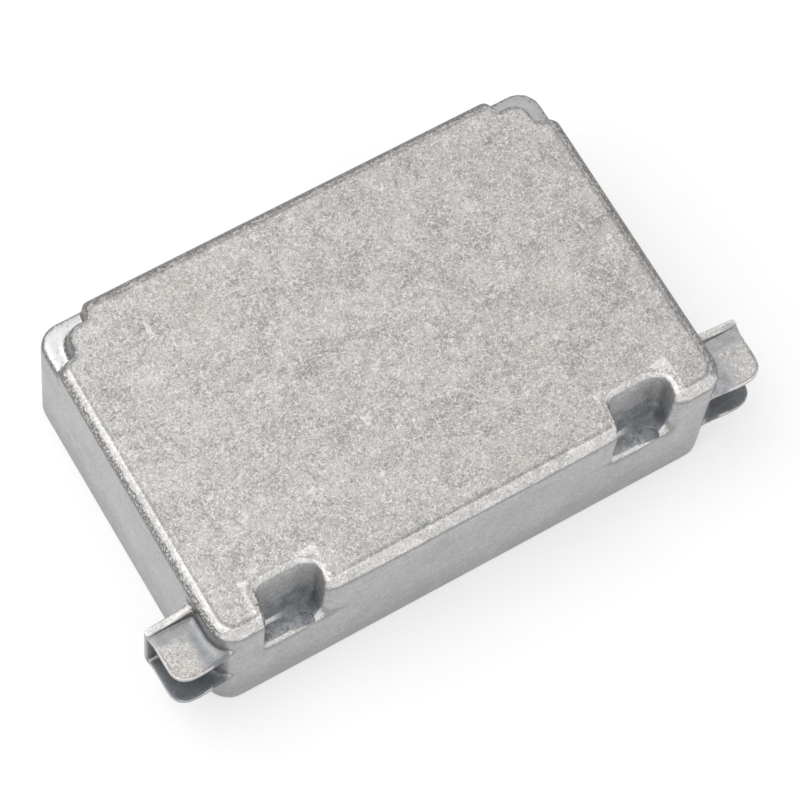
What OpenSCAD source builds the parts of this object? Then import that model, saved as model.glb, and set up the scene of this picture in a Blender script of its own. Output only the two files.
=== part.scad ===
// Built-in battery charger for an electric scooter: a potted mains converter in a die-cast box.
// Millimetres, +Z up. The origin is the centre of the base, X runs along the long side,
// the two open pockets face -Y and the lead bushes face +Y.

/* [Housing] */
// Length of the cast body along X, without its lugs
body_l = 140; // [140:1:160]
// Width of the cast body along Y
body_w = 93; // [93:1:110]
// Height of the cast body
body_h = 44; // [44:1:52]
// Thickness of the cast walls and of the roof
wall = 3; // [2.8:0.1:3.2]
// Radius of the upright corners
side_r = 6.8; // [6:0.2:8]
// Radius of the edge round the top face
top_r = 3.4; // [2:0.2:4]

/* [Corner ledges] */
// Length of each back corner ledge along X
ledge_l = 13.4; // [13:0.1:15]
// Length of each back corner ledge along Y
ledge_w = 12.9; // [12.5:0.1:15]
// Height of the top face above the ledges
ledge_drop = 6; // [4:0.5:7]
// Radius of the round boss that stands in each ledge
boss_r = 5.3; // [5:0.1:6]

/* [Pockets] */
// Width of each front pocket
pocket_w = 16; // [14:0.5:17]
// Depth of each front pocket from the front wall
pocket_d = 9.5; // [8:0.5:10]
// Height of the pocket floors above the base
pocket_floor = 26; // [25:0.5:30]
// Distance of each pocket's middle from the middle of the body
pocket_x = 47.75; // [46:0.25:49]
// Radius of the upright corners at the back of a pocket
pocket_r = 3.5; // [2:0.5:4]
// Radius of the shallow round mark at the front of each pocket floor
mark_r = 2.8; // [2.4:0.2:3]
// Depth of that mark
mark_depth = 0.6; // [0.3:0.1:1]

/* [Lugs] */
// How far each lug stands out from the end wall
lug_reach = 11.4; // [8:0.2:14]
// Height of the underside of the lower flange
lug_low = 15.5; // [14:0.5:18]
// Height of the top of the upper flange
lug_high = 34; // [30:0.5:35]
// Thickness of the two flanges
flange_t = 1.8; // [1.5:0.1:2.5]
// Thickness of the upright web
web_t = 2.1; // [1.8:0.1:3]
// Depth of a lug from its front edge to the back of its web
lug_depth = 15.7; // [14:0.1:18]
// Rise of the gusset above the upper flange where it meets the end wall
gusset_rise = 3.6; // [2:0.2:5]
// Radius of the outer front corner of the flanges
lug_r = 4.5; // [3:0.5:6]

/* [Leads] */
// Radius of the mains lead's way through its bush
ac_bore_r = 3.6; // [3:0.1:4]
// Radius of the battery lead's way through its bush
dc_bore_r = 3.1; // [2.5:0.1:3.5]
// Height of both lead axes above the base
lead_z = 19; // [17:0.5:22]
// Distance of each lead axis from the middle of the body
lead_x = 34; // [32:0.5:35]

/* [Board] */
// Height of the board's underside above the base
board_z = 6.5; // [6:0.1:7]
// Thickness of the board
board_t = 1.6; // [1.2:0.2:2]

/* [Hidden] */
$fn = 48;
eps = 0.01;

// Inside of the casting
inner_l = body_l - 2 * wall;
inner_w = body_w - 2 * wall;
inner_r = side_r - wall;
roof_z = body_h - wall;
ledge_z = body_h - ledge_drop;
shell = 2.5;

// Front edge of the lugs, set back a little from the front wall
lug_front = -body_w / 2 + 0.1;

// Cover, its rebate and the seal below the shoulder
rebate_rim = 1.5;
cover_t = 1.5;
cover_gap = 0.2;
seal_t = 0.8;
shoulder_z = cover_t + seal_t;
screw_r = 1.5;
screw_head_r = 2.75;
screw_hole_r = 1.6;

// Screw pillars that carry the cover, and posts that carry the board
pillar_r = 4.6;
pillar_depth = 12;
boss_at = [body_l / 2 - 11, body_w / 2 - 10.1];
front_pillar_at = [body_l / 2 - 7, body_w / 2 - 7.1];
middle_pillar_y = body_w / 2 - 6.2;
pillars = [for (x = [-1, 1]) each [[x * boss_at.x, boss_at.y], [x * front_pillar_at.x, -front_pillar_at.y]],
    [0, middle_pillar_y], [0, -middle_pillar_y]];
post_r = 3.5;
post_y = body_w / 2 - 6.1;
posts = [for (x = [-1, 1]) each [[x * 46, post_y], [x * 32, -post_y]]];
board_top = board_z + board_t;
board_l = inner_l - 2;
board_w = inner_w - 2;

// Bushes
bush_hole_r = 6;
bush_collar_r = 7.5;
bush_collar_t = 1.5;
bush_flange_r = 7;
bush_flange_t = 2;

// Places of the parts on the board, and their length, width and height
fuse_at = [-56.2, 19];
fuse_r = 2.6;
fuse_l = 20;
varistor_at = [-50, 23];
varistor_r = 7;
thermistor_at = [-43, 21];
thermistor_r = 6.5;
disc_t = 4.4;
filter_at = [-47, -2.5];
filter_r = 11;
filter_h = 12;
line_cap = [18, 8.5, 15];
line_caps_at = [[-48, -19.5], [-48, -28.8]];
earth_cap_r = 3.8;
earth_caps_at = [[-33.6, -10], [-33.6, -20], [-33.6, -30]];
earth_cap_t = 3;
bulk_r = 9;
bulk_h = 31;
bulk_at = [[-24, 6.5], [-16.5, 25.5]];
coil_at = [-18, -17.5];
coil_size = [26, 24, 26];
transformer_at = [11, 4];
transformer_size = [32, 26, 30];
resonant_at = [5, -15.5];
resonant_size = [17, 8, 13];
standby_at = [17, -27];
standby_size = [16, 13, 14];
card_at = [7, 26];
card_size = [26, 1.2, 20];
opto_at = [[-3, 33], [8, 33]];
opto_size = [6.5, 4.6, 3.6];
out_cap_r = 6.3;
out_cap_h = 25;
out_caps_at = [[35, -25], [35, -11], [35, 3]];
out_coil_at = [50.4, -19];
out_coil_r = 7.6;
out_coil_h = 9;
relay_at = [49, 4];
relay_size = [10, 19, 15];
shunt_at = [45, 22];
terminal_y = 30;
ac_terminal_x = [-39, -34, -29];
dc_terminal_x = [30, 38];
chips_at = [[-12, 4], [24, -12], [30, 20]];

// Heat bars against the walls, and what is clipped to them
bar_t = 3;
pad_t = 0.6;
bar_h = 28;
side_bar_y = [-32, 20];
middle_bar_x = [-27, -5.5];
device = [4.5, 10, 16];
bridge_device = [3.6, 22, 18];
in_devices_y = [-7, -21];
out_devices_y = [-23, -9, 5];
half_bridge_x = [-21.5, -10.5];
side_bar_x = inner_l / 2 - pad_t - bar_t;
middle_bar_y = inner_w / 2 - pad_t - bar_t;
clip_t = 0.6;
fit = 0.2;

// Outline of a rectangle with round corners
module rounded_outline(l, w, r) {
    square([l - 2 * r, w], center = true);
    square([l, w - 2 * r], center = true);
    for (x = [-1, 1], y = [-1, 1])
        translate([x * (l / 2 - r), y * (w / 2 - r)])
            circle(r);
}

// Plate with round corners, standing on z = 0
module rounded_plate(l, w, h, r) {
    linear_extrude(h)
        rounded_outline(l, w, r);
}

// Half profile of a block whose top corner is rounded
module shouldered_profile(half, h, r) {
    square([half, h - r]);
    square([half - r, h]);
    intersection() {
        translate([half - r, h - r])
            circle(r);
        square([half, h]);
    }
}

// Straight run of a block with both top edges rounded, along X
module soft_run(l, w, h, r) {
    rotate([90, 0, 90])
        translate([0, 0, -l / 2])
            linear_extrude(l) {
                shouldered_profile(w / 2, h, r);
                mirror([1, 0])
                    shouldered_profile(w / 2, h, r);
            }
}

// Block with round upright corners and a round top edge
module soft_block(l, w, h, r, edge_r) {
    soft_run(l - 2 * r, w, h, edge_r);
    rotate([0, 0, 90])
        soft_run(w - 2 * r, l, h, edge_r);
    for (x = [-1, 1], y = [-1, 1])
        translate([x * (l / 2 - r), y * (w / 2 - r), 0])
            rotate_extrude()
                shouldered_profile(r, h, edge_r);
}

// Box that stands on the board at a place
module on_board(at, size, z = board_top) {
    translate([at.x - size.x / 2, at.y - size.y / 2, z])
        cube(size);
}

// Room that is cut at each back corner to leave the ledge and its boss
module ledge_room(side) {
    difference() {
        translate([side > 0 ? body_l / 2 - ledge_l : -body_l / 2 - 1, body_w / 2 - ledge_w, ledge_z])
            cube([ledge_l + 1, ledge_w + 1, ledge_drop + 1]);
        translate([side * boss_at.x, boss_at.y, ledge_z - 1])
            cylinder(r = boss_r, h = ledge_drop + 3);
    }
}

// Room that is cut for one front pocket, open at the top and the front
module pocket_room(side) {
    depth = pocket_d + 1;
    translate([side * pocket_x, -body_w / 2 - 1, pocket_floor])
        linear_extrude(body_h) {
            translate([-pocket_w / 2, 0])
                square([pocket_w, depth - pocket_r]);
            translate([-pocket_w / 2 + pocket_r, 0])
                square([pocket_w - 2 * pocket_r, depth]);
            for (x = [-1, 1])
                translate([x * (pocket_w / 2 - pocket_r), depth - pocket_r])
                    circle(pocket_r);
        }
    translate([side * pocket_x + 1.5, -body_w / 2 + mark_r / 2, pocket_floor - mark_depth])
        cylinder(r = mark_r, h = mark_depth + 1);
}

// Flange of a lug with a round outer front corner, from the body's end wall
module lug_flange(z) {
    reach = lug_reach + wall / 2;
    translate([body_l / 2 - wall / 2, lug_front, z])
        linear_extrude(flange_t) {
            square([reach - lug_r, lug_depth]);
            translate([0, lug_r])
                square([reach, lug_depth - lug_r]);
            translate([reach - lug_r, lug_r])
                circle(lug_r);
        }
}

// Channel-shaped lug on the right end wall: two flanges, a web behind them and its gusset
module lug() {
    reach = lug_reach + wall / 2;
    lug_flange(lug_low);
    lug_flange(lug_high - flange_t);
    translate([body_l / 2 - wall / 2, lug_front + lug_depth, 0])
        rotate([90, 0, 0])
            linear_extrude(web_t)
                polygon([[0, lug_low], [reach, lug_low], [reach, lug_high],
                    [0, lug_high + gusset_rise]]);
}

// Hollow of the casting, less the backs of the pockets and ledges
module hollow() {
    translate([0, 0, -1])
        rounded_plate(body_l - 2 * rebate_rim, body_w - 2 * rebate_rim, shoulder_z + 1,
            side_r - rebate_rim);
    difference() {
        rounded_plate(inner_l, inner_w, roof_z, inner_r);
        for (side = [-1, 1]) {
            translate([side * pocket_x - pocket_w / 2 - shell, -body_w / 2, pocket_floor - shell])
                cube([pocket_w + 2 * shell, pocket_d + shell, body_h]);
            translate([side > 0 ? body_l / 2 - ledge_l - shell : -body_l / 2,
                body_w / 2 - ledge_w - shell, ledge_z - wall])
                cube([ledge_l + shell, ledge_w + shell, body_h]);
        }
    }
}

// Stepped hole for a lead bush through the back wall
module bush_hole(side) {
    translate([side * lead_x, body_w / 2 + 1, lead_z])
        rotate([90, 0, 0]) {
            cylinder(r = bush_hole_r, h = wall + 2);
            cylinder(r = bush_collar_r + 0.05, h = bush_collar_t + 1);
        }
}

module housing() {
    color("lightgray")
        difference() {
            union() {
                difference() {
                    union() {
                        soft_block(body_l, body_w, body_h, side_r, top_r);
                        lug();
                        mirror([1, 0, 0])
                            lug();
                    }
                    for (side = [-1, 1]) {
                        ledge_room(side);
                        pocket_room(side);
                    }
                    hollow();
                }
                for (p = pillars)
                    translate([p.x, p.y, cover_t])
                        cylinder(r = pillar_r, h = (abs(p.x) > 50 && p.y > 0 ? ledge_z : roof_z) - 1);
                for (p = posts)
                    translate([p.x, p.y, board_top])
                        cylinder(r = post_r, h = roof_z - board_top + 1);
            }
            for (p = pillars)
                translate([p.x, p.y, 0])
                    cylinder(r = screw_hole_r, h = pillar_depth);
            for (p = posts)
                translate([p.x, p.y, 0])
                    cylinder(r = screw_hole_r, h = board_top + pillar_depth);
            for (side = [-1, 1])
                bush_hole(side);
        }
}

module base_cover() {
    color("silver")
        difference() {
            rounded_plate(body_l - 2 * rebate_rim - 2 * cover_gap, body_w - 2 * rebate_rim - 2 * cover_gap,
                cover_t, side_r - rebate_rim - cover_gap);
            for (p = pillars)
                translate([p.x, p.y, -eps]) {
                    cylinder(r1 = 3, r2 = screw_hole_r, h = cover_t - 0.1);
                    cylinder(r = screw_hole_r, h = cover_t + 1);
                }
        }
}

// Formed-in-place strip between the cover and the shoulder of the casting
module cover_seal() {
    color("dimgray")
        translate([0, 0, cover_t])
            difference() {
                rounded_plate(body_l - 2 * rebate_rim - 2 * cover_gap, body_w - 2 * rebate_rim - 2 * cover_gap,
                    seal_t, side_r - rebate_rim - cover_gap);
                translate([0, 0, -1])
                    rounded_plate(inner_l, inner_w, seal_t + 2, inner_r);
                for (p = pillars)
                    translate([p.x, p.y, -1])
                        cylinder(r = pillar_r + 0.1, h = seal_t + 2);
            }
}

// Countersunk screw with a hexagon recess, head down
module cover_screw() {
    head_h = cover_t - 0.2;
    difference() {
        union() {
            cylinder(r1 = screw_head_r, r2 = screw_r, h = head_h);
            cylinder(r = screw_r, h = 10);
        }
        translate([0, 0, -eps])
            cylinder(r = 1.1, h = 1.1, $fn = 6);
    }
}

module cover_screws() {
    color("gray")
        for (p = pillars)
            translate([p.x, p.y, 0])
                cover_screw();
}

module insulation_sheet() {
    color("ivory")
        translate([0, 0, 2.5])
            difference() {
                rounded_plate(inner_l - 1, inner_w - 1, 0.4, inner_r - 0.5);
                for (p = pillars)
                    translate([p.x, p.y, -1])
                        cylinder(r = pillar_r + 0.3, h = 3);
            }
}

module main_board() {
    color("darkgreen")
        translate([0, 0, board_z])
            difference() {
                rounded_plate(board_l, board_w, board_t, 3);
                for (p = pillars)
                    translate([p.x, p.y, -1])
                        cylinder(r = pillar_r + 0.5, h = 4);
                for (p = posts)
                    translate([p.x, p.y, -1])
                        cylinder(r = screw_hole_r, h = 4);
            }
}

// Pan-head screw with a hexagon recess, head down
module board_screw() {
    difference() {
        union() {
            translate([0, 0, -2])
                cylinder(r = screw_head_r, h = 2);
            cylinder(r = screw_r, h = 9);
        }
        translate([0, 0, -2 - eps])
            cylinder(r = 1.1, h = 1.2, $fn = 6);
    }
}

module board_screws() {
    color("gray")
        for (p = posts)
            translate([p.x, p.y, board_z])
                board_screw();
}

// Room that the compound leaves for a box on the board
module box_room(at, size, z = board_top) {
    on_board([at.x, at.y], [size.x + 2 * fit, size.y + 2 * fit, size.z + fit + 1], z - 1);
}

// Room that the compound leaves for a round part on the board
module round_room(at, r, h) {
    translate([at.x, at.y, board_top - 1])
        cylinder(r = r + fit, h = h + fit + 1);
}

// Everything that the compound flows around
module parts_room() {
    translate([0, 0, board_z - fit])
        rounded_plate(board_l + 2 * fit, board_w + 2 * fit, board_t + 2 * fit, 3);
    for (p = pillars)
        translate([p.x, p.y, 0])
            cylinder(r = pillar_r + fit, h = body_h);
    for (p = posts) {
        translate([p.x, p.y, board_top])
            cylinder(r = post_r + fit, h = body_h);
        translate([p.x, p.y, 0])
            cylinder(r = screw_head_r + 0.6, h = board_top);
    }
    for (side = [-1, 1])
        translate([side * lead_x - 8, terminal_y - 4, board_top - 1])
            cube([16, body_w, lead_z + bush_flange_r + 1.5 - board_top]);
    box_room(fuse_at, [9, fuse_l + 3, 9]);
    box_room(varistor_at, [disc_t, 2 * varistor_r, 2 * varistor_r + 1.5]);
    box_room(thermistor_at, [disc_t, 2 * thermistor_r, 2 * thermistor_r + 1.5]);
    round_room(filter_at, filter_r + 1, filter_h + 1);
    for (at = line_caps_at)
        box_room(at, line_cap);
    for (at = earth_caps_at)
        box_room(at, [earth_cap_t, 2 * earth_cap_r, 2 * earth_cap_r + 1.5]);
    for (at = bulk_at)
        round_room(at, bulk_r, bulk_h);
    box_room(coil_at, coil_size);
    box_room(transformer_at, [transformer_size.x, transformer_size.y, body_h]);
    box_room(resonant_at, resonant_size);
    box_room(standby_at, standby_size);
    box_room(card_at, [card_size.x, card_size.y + 5, card_size.z]);
    for (at = opto_at)
        box_room(at, opto_size);
    for (at = out_caps_at)
        round_room(at, out_cap_r, out_cap_h);
    round_room(out_coil_at, out_coil_r + 1, out_coil_h + 2);
    box_room(relay_at, relay_size);
    box_room(shunt_at, [13, 4, 6]);
    for (side = [-1, 1])
        translate([side * (inner_l / 2) - 10, side_bar_y[0] - fit, board_top - 1])
            cube([20, side_bar_y[1] - side_bar_y[0] + 2 * fit, bar_h + clip_t + 1 + fit]);
    translate([middle_bar_x[0] - fit, -inner_w / 2 - 1, board_top - 1])
        cube([middle_bar_x[1] - middle_bar_x[0] + 2 * fit, 13.2, bar_h + clip_t + 1 + fit]);
    for (at = chips_at)
        on_board(at, [10.4, 6.4, 3], board_z - 2.2);
}

module potting_compound() {
    color("darkslategray")
        difference() {
            translate([0, 0, 3.2])
                rounded_plate(inner_l - 0.2, inner_w - 0.2, roof_z - 3.3, inner_r);
            for (side = [-1, 1]) {
                translate([side * pocket_x - pocket_w / 2 - shell - 0.1, -body_w / 2,
                    pocket_floor - shell - 0.1])
                    cube([pocket_w + 2 * shell + 0.2, pocket_d + shell + 0.1, body_h]);
                translate([side > 0 ? body_l / 2 - ledge_l - shell - 0.1 : -body_l / 2,
                    body_w / 2 - ledge_w - shell - 0.1, ledge_z - wall - 0.1])
                    cube([ledge_l + shell + 0.1, ledge_w + shell + 1, body_h]);
            }
            parts_room();
        }
}

// Rubber bush: a collar in the wall's outer step, a neck, an inner flange and the lead's way
module lead_bush(bore_r) {
    difference() {
        union() {
            cylinder(r = bush_collar_r, h = bush_collar_t);
            cylinder(r = bush_hole_r - 0.05, h = wall + eps);
            translate([0, 0, wall])
                cylinder(r = bush_flange_r, h = bush_flange_t);
            translate([0, 0, wall + bush_flange_t - eps])
                cylinder(r1 = bush_hole_r, r2 = bush_hole_r - 1, h = 4);
        }
        translate([0, 0, -1])
            cylinder(r = bore_r, h = 20);
    }
}

module ac_lead_bush() {
    color("black")
        translate([-lead_x, body_w / 2, lead_z])
            rotate([90, 0, 0])
                lead_bush(ac_bore_r);
}

module dc_lead_bush() {
    color("black")
        translate([lead_x, body_w / 2, lead_z])
            rotate([90, 0, 0])
                lead_bush(dc_bore_r);
}

// Solder tab with a wire hole, standing on the board
module solder_tab(x) {
    translate([x, terminal_y, board_top])
        difference() {
            union() {
                translate([-0.4, -3.15, 0])
                    cube([0.8, 6.3, 9]);
                translate([-1.2, -3.6, 0])
                    cube([2.4, 7.2, 1.2]);
            }
            translate([-1, 0, 6])
                rotate([0, 90, 0])
                    cylinder(r = 1, h = 2);
        }
}

module ac_terminals() {
    color("gold")
        for (x = ac_terminal_x)
            solder_tab(x);
}

module dc_terminals() {
    color("gold")
        for (x = dc_terminal_x)
            solder_tab(x);
}

module input_fuse() {
    color("ivory")
        translate([fuse_at.x, fuse_at.y - fuse_l / 2, board_top + 4])
            rotate([-90, 0, 0]) {
                cylinder(r = fuse_r - 0.2, h = fuse_l);
                cylinder(r = fuse_r, h = 5);
                translate([0, 0, fuse_l - 5])
                    cylinder(r = fuse_r, h = 5);
            }
}

module fuse_clips() {
    color("goldenrod")
        for (y = [-1, 1])
            translate([fuse_at.x, fuse_at.y + y * (fuse_l / 2 - 2.5), board_top])
                difference() {
                    translate([-3.4, -1.8, 0])
                        cube([6.8, 3.6, 7]);
                    translate([0, 5, 4])
                        rotate([90, 0, 0])
                            cylinder(r = fuse_r + 0.02, h = 10);
                    translate([-1.9, -3, 4])
                        cube([3.8, 6, 4]);
                }
}

// Upright coated disc on two leads, facing X
module disc_part(at, r, t) {
    translate([at.x - t / 2, at.y, board_top + r + 1.5])
        rotate([0, 90, 0])
            cylinder(r = r, h = t);
    for (y = [-1, 1])
        translate([at.x, at.y + y * r * 0.45, board_top])
            cylinder(r = 0.4, h = r);
}

module surge_varistor() {
    color("royalblue")
        disc_part(varistor_at, varistor_r, disc_t);
}

module inrush_thermistor() {
    color("darkolivegreen")
        disc_part(thermistor_at, thermistor_r, disc_t);
}

module filter_choke_core() {
    color("dimgray")
        translate([filter_at.x, filter_at.y, board_top + 1.4])
            difference() {
                cylinder(r = filter_r - 1.4, h = filter_h - 2.4);
                translate([0, 0, -1])
                    cylinder(r = 5.4, h = filter_h + 2);
            }
}

// Winding that wraps a ring core over part of its turn, with a clear skin's thickness
module ring_winding(core_r, core_bore, core_h, wire, from, sweep) {
    gap = 0.05;
    rotate([0, 0, from])
        rotate_extrude(angle = sweep)
            difference() {
                translate([core_bore - wire, -wire])
                    square([core_r - core_bore + 2 * wire, core_h + 2 * wire]);
                translate([core_bore - gap, -gap])
                    square([core_r - core_bore + 2 * gap, core_h + 2 * gap]);
            }
}

module filter_choke_windings() {
    color("chocolate")
        translate([filter_at.x, filter_at.y, board_top + 1.4])
            for (turn = [0, 180])
                ring_winding(filter_r - 1.4, 5.4, filter_h - 2.4, 1.3, turn + 20, 140);
}

module line_capacitors() {
    color("khaki")
        for (at = line_caps_at)
            on_board(at, line_cap);
}

module earth_capacitors() {
    color("steelblue")
        for (at = earth_caps_at)
            disc_part(at, earth_cap_r, earth_cap_t);
}

// Flat package that stands against a heat bar: body, tab and legs, its back on x = 0
module tab_device(size) {
    tab_t = 1.3;
    legs = 3;
    translate([0, -size.y / 2, 3])
        cube([size.x, size.y, size.z - 3]);
    translate([0, -size.y / 2, size.z - eps])
        cube([tab_t, size.y, 5]);
    for (i = [0:legs - 1])
        translate([2.2, (i - 1) * size.y * 0.26 - 0.4, 0])
            cube([0.7, 0.8, 3 + eps]);
}

module bridge_rectifier() {
    color("#202224")
        translate([-side_bar_x, 8, board_top])
            tab_device(bridge_device);
}

module boost_transistor() {
    color("#202224")
        translate([-side_bar_x, in_devices_y[0] - 5, board_top])
            tab_device(device);
}

module boost_diode() {
    color("#202224")
        translate([-side_bar_x, in_devices_y[1] - 3, board_top])
            tab_device(device);
}

module output_transistors() {
    color("#202224")
        for (y = out_devices_y)
            translate([side_bar_x, y, board_top])
                rotate([0, 0, 180])
                    tab_device(device);
}

module half_bridge_transistors() {
    color("#202224")
        for (x = half_bridge_x)
            translate([x, -middle_bar_y, board_top])
                rotate([0, 0, 90])
                    tab_device(device);
}

// Pair of E-shaped ferrite halves: two outer legs, a round middle leg and two backs
module ferrite_pair(size, back, leg, post_r) {
    for (z = [0, size.z - back])
        translate([-size.x / 2, -size.y / 2 + 2, z])
            cube([size.x, size.y - 4, back]);
    for (x = [-size.x / 2, size.x / 2 - leg])
        translate([x, -size.y / 2 + 2, back - eps])
            cube([leg, size.y - 4, size.z - 2 * back + 2 * eps]);
    translate([0, 0, back - eps])
        cylinder(r = post_r, h = size.z - 2 * back + 2 * eps);
}

module boost_coil_core() {
    color("dimgray")
        translate([coil_at.x, coil_at.y, board_top])
            ferrite_pair(coil_size, 4, 3, 4.5);
}

module boost_coil_winding() {
    color("chocolate")
        translate([coil_at.x, coil_at.y, board_top + 4.3])
            difference() {
                cylinder(r = 9.4, h = coil_size.z - 8.6);
                translate([0, 0, -1])
                    cylinder(r = 4.7, h = coil_size.z);
            }
}

module bulk_capacitors() {
    color("#26303a")
        for (at = bulk_at)
            translate([at.x, at.y, board_top]) {
                cylinder(r = bulk_r - 0.3, h = bulk_h);
                cylinder(r = bulk_r, h = 2.2);
                translate([0, 0, 3.4])
                    cylinder(r = bulk_r, h = bulk_h - 4);
            }
}

module resonant_capacitor() {
    color("firebrick")
        on_board(resonant_at, resonant_size);
}

module transformer_core() {
    color("dimgray")
        translate([transformer_at.x, transformer_at.y, board_top])
            ferrite_pair(transformer_size, 5, 4, 6);
}

module transformer_bobbin() {
    color("black")
        translate([transformer_at.x, transformer_at.y, board_top + 5.1])
            difference() {
                union() {
                    cylinder(r = 7, h = 19.8);
                    for (z = [0, 9.4, 18.6])
                        translate([0, 0, z])
                            cylinder(r = 11.7, h = 1.2);
                }
                translate([0, 0, -1])
                    cylinder(r = 6.1, h = 24);
            }
}

module transformer_windings() {
    color("peru")
        for (z = [6.5, 15.9])
            translate([transformer_at.x, transformer_at.y, board_top + z])
                difference() {
                    cylinder(r = 11, h = z < 10 ? 7.8 : 7.6);
                    translate([0, 0, -1])
                        cylinder(r = 7.1, h = 12);
                }
}

// Soft pad between the transformer and the roof
module transformer_pad() {
    color("lightpink")
        on_board(transformer_at, [28, 20, roof_z - board_top - transformer_size.z],
            board_top + transformer_size.z);
}

module standby_transformer() {
    color("gold")
        translate([standby_at.x, standby_at.y, board_top]) {
            translate([-8, -2.5, 1])
                cube([16, 5, 12.6]);
            translate([-5, -6.5, 2.6])
                cube([10, 13, 9.4]);
            translate([-8, -6.5, 0])
                cube([16, 13, 1.1]);
        }
}

module control_card() {
    color("darkgreen")
        on_board(card_at, card_size);
}

module control_chips() {
    color("#202224") {
        for (x = [-7, 3])
            translate([card_at.x + x - 2.5, card_at.y + card_size.y / 2, board_top + 6])
                cube([5, 1.6, 8.6]);
        for (at = chips_at)
            on_board(at, [8.6, 3.9, 1.6], board_z - 1.6);
    }
}

module optocouplers() {
    color("whitesmoke")
        for (at = opto_at)
            on_board(at, opto_size);
}

module output_capacitors() {
    color("#26303a")
        for (at = out_caps_at)
            translate([at.x, at.y, board_top]) {
                cylinder(r = out_cap_r - 0.25, h = out_cap_h);
                cylinder(r = out_cap_r, h = 1.8);
                translate([0, 0, 2.8])
                    cylinder(r = out_cap_r, h = out_cap_h - 3.2);
            }
}

module output_choke_core() {
    color("yellowgreen")
        translate([out_coil_at.x, out_coil_at.y, board_top + 1.2])
            difference() {
                cylinder(r = out_coil_r - 1, h = out_coil_h - 2);
                translate([0, 0, -1])
                    cylinder(r = 3.6, h = out_coil_h);
            }
}

module output_choke_winding() {
    color("chocolate")
        translate([out_coil_at.x, out_coil_at.y, board_top + 1.2])
            ring_winding(out_coil_r - 1, 3.6, out_coil_h - 2, 0.9, 15, 330);
}

module output_relay() {
    color("#202224")
        on_board(relay_at, relay_size);
}

// Bent strip that the charging current runs through
module sense_resistor() {
    color("sienna")
        translate([shunt_at.x - 6, shunt_at.y - 1.5, board_top]) {
            cube([0.8, 3, 5]);
            translate([0, 0, 4.2])
                cube([12, 3, 0.8]);
            translate([11.2, 0, 0])
                cube([0.8, 3, 5]);
        }
}

module side_heat_bar(side) {
    translate([side > 0 ? side_bar_x : -side_bar_x - bar_t, side_bar_y[0], board_top])
        cube([bar_t, side_bar_y[1] - side_bar_y[0], bar_h]);
}

module input_heat_bar() {
    color("silver")
        side_heat_bar(-1);
}

module output_heat_bar() {
    color("silver")
        side_heat_bar(1);
}

module middle_heat_bar() {
    color("silver")
        translate([middle_bar_x[0], -middle_bar_y - bar_t, board_top])
            cube([middle_bar_x[1] - middle_bar_x[0], bar_t, bar_h]);
}

// Soft pads between the heat bars and the walls
module heat_bar_pads() {
    color("lightpink") {
        for (side = [-1, 1])
            translate([side > 0 ? inner_l / 2 - pad_t : -inner_l / 2, side_bar_y[0] + 1, board_top + 1])
                cube([pad_t, side_bar_y[1] - side_bar_y[0] - 2, bar_h - 2]);
        translate([middle_bar_x[0] + 1, -inner_w / 2, board_top + 1])
            cube([middle_bar_x[1] - middle_bar_x[0] - 2, pad_t, bar_h - 2]);
    }
}

// Spring clip over the top edge of a heat bar that presses on a package, bar face on x = 0
module bar_clip(device_t) {
    press_z = 13;
    translate([-bar_t, -2.5, bar_h])
        cube([bar_t + device_t + clip_t, 5, clip_t]);
    translate([device_t, -2.5, press_z])
        cube([clip_t, 5, bar_h - press_z + eps]);
}

module transistor_clips() {
    color("lightsteelblue") {
        translate([-side_bar_x, 8, board_top])
            bar_clip(bridge_device.x);
        for (y = [in_devices_y[0] - 5, in_devices_y[1] - 3])
            translate([-side_bar_x, y, board_top])
                bar_clip(device.x);
        for (y = out_devices_y)
            translate([side_bar_x, y, board_top])
                rotate([0, 0, 180])
                    bar_clip(device.x);
        for (x = half_bridge_x)
            translate([x, -middle_bar_y, board_top])
                rotate([0, 0, 90])
                    bar_clip(device.x);
    }
}

housing();
base_cover();
cover_seal();
cover_screws();
insulation_sheet();
main_board();
board_screws();
potting_compound();
ac_lead_bush();
dc_lead_bush();
ac_terminals();
dc_terminals();
input_fuse();
fuse_clips();
surge_varistor();
inrush_thermistor();
filter_choke_core();
filter_choke_windings();
line_capacitors();
earth_capacitors();
bridge_rectifier();
boost_transistor();
boost_diode();
boost_coil_core();
boost_coil_winding();
bulk_capacitors();
half_bridge_transistors();
resonant_capacitor();
transformer_core();
transformer_bobbin();
transformer_windings();
transformer_pad();
standby_transformer();
control_card();
control_chips();
optocouplers();
output_transistors();
output_capacitors();
output_choke_core();
output_choke_winding();
output_relay();
sense_resistor();
input_heat_bar();
middle_heat_bar();
output_heat_bar();
heat_bar_pads();
transistor_clips();
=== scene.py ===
"""Looks of a scooter's built-in battery charger: a potted converter in a tumbled aluminium die casting."""
import logging
import math
from collections.abc import Callable
from dataclasses import dataclass
from enum import Enum
from functools import cache
from typing import ClassVar

import bmesh
import bpy
from mathutils import Matrix, Vector

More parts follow.
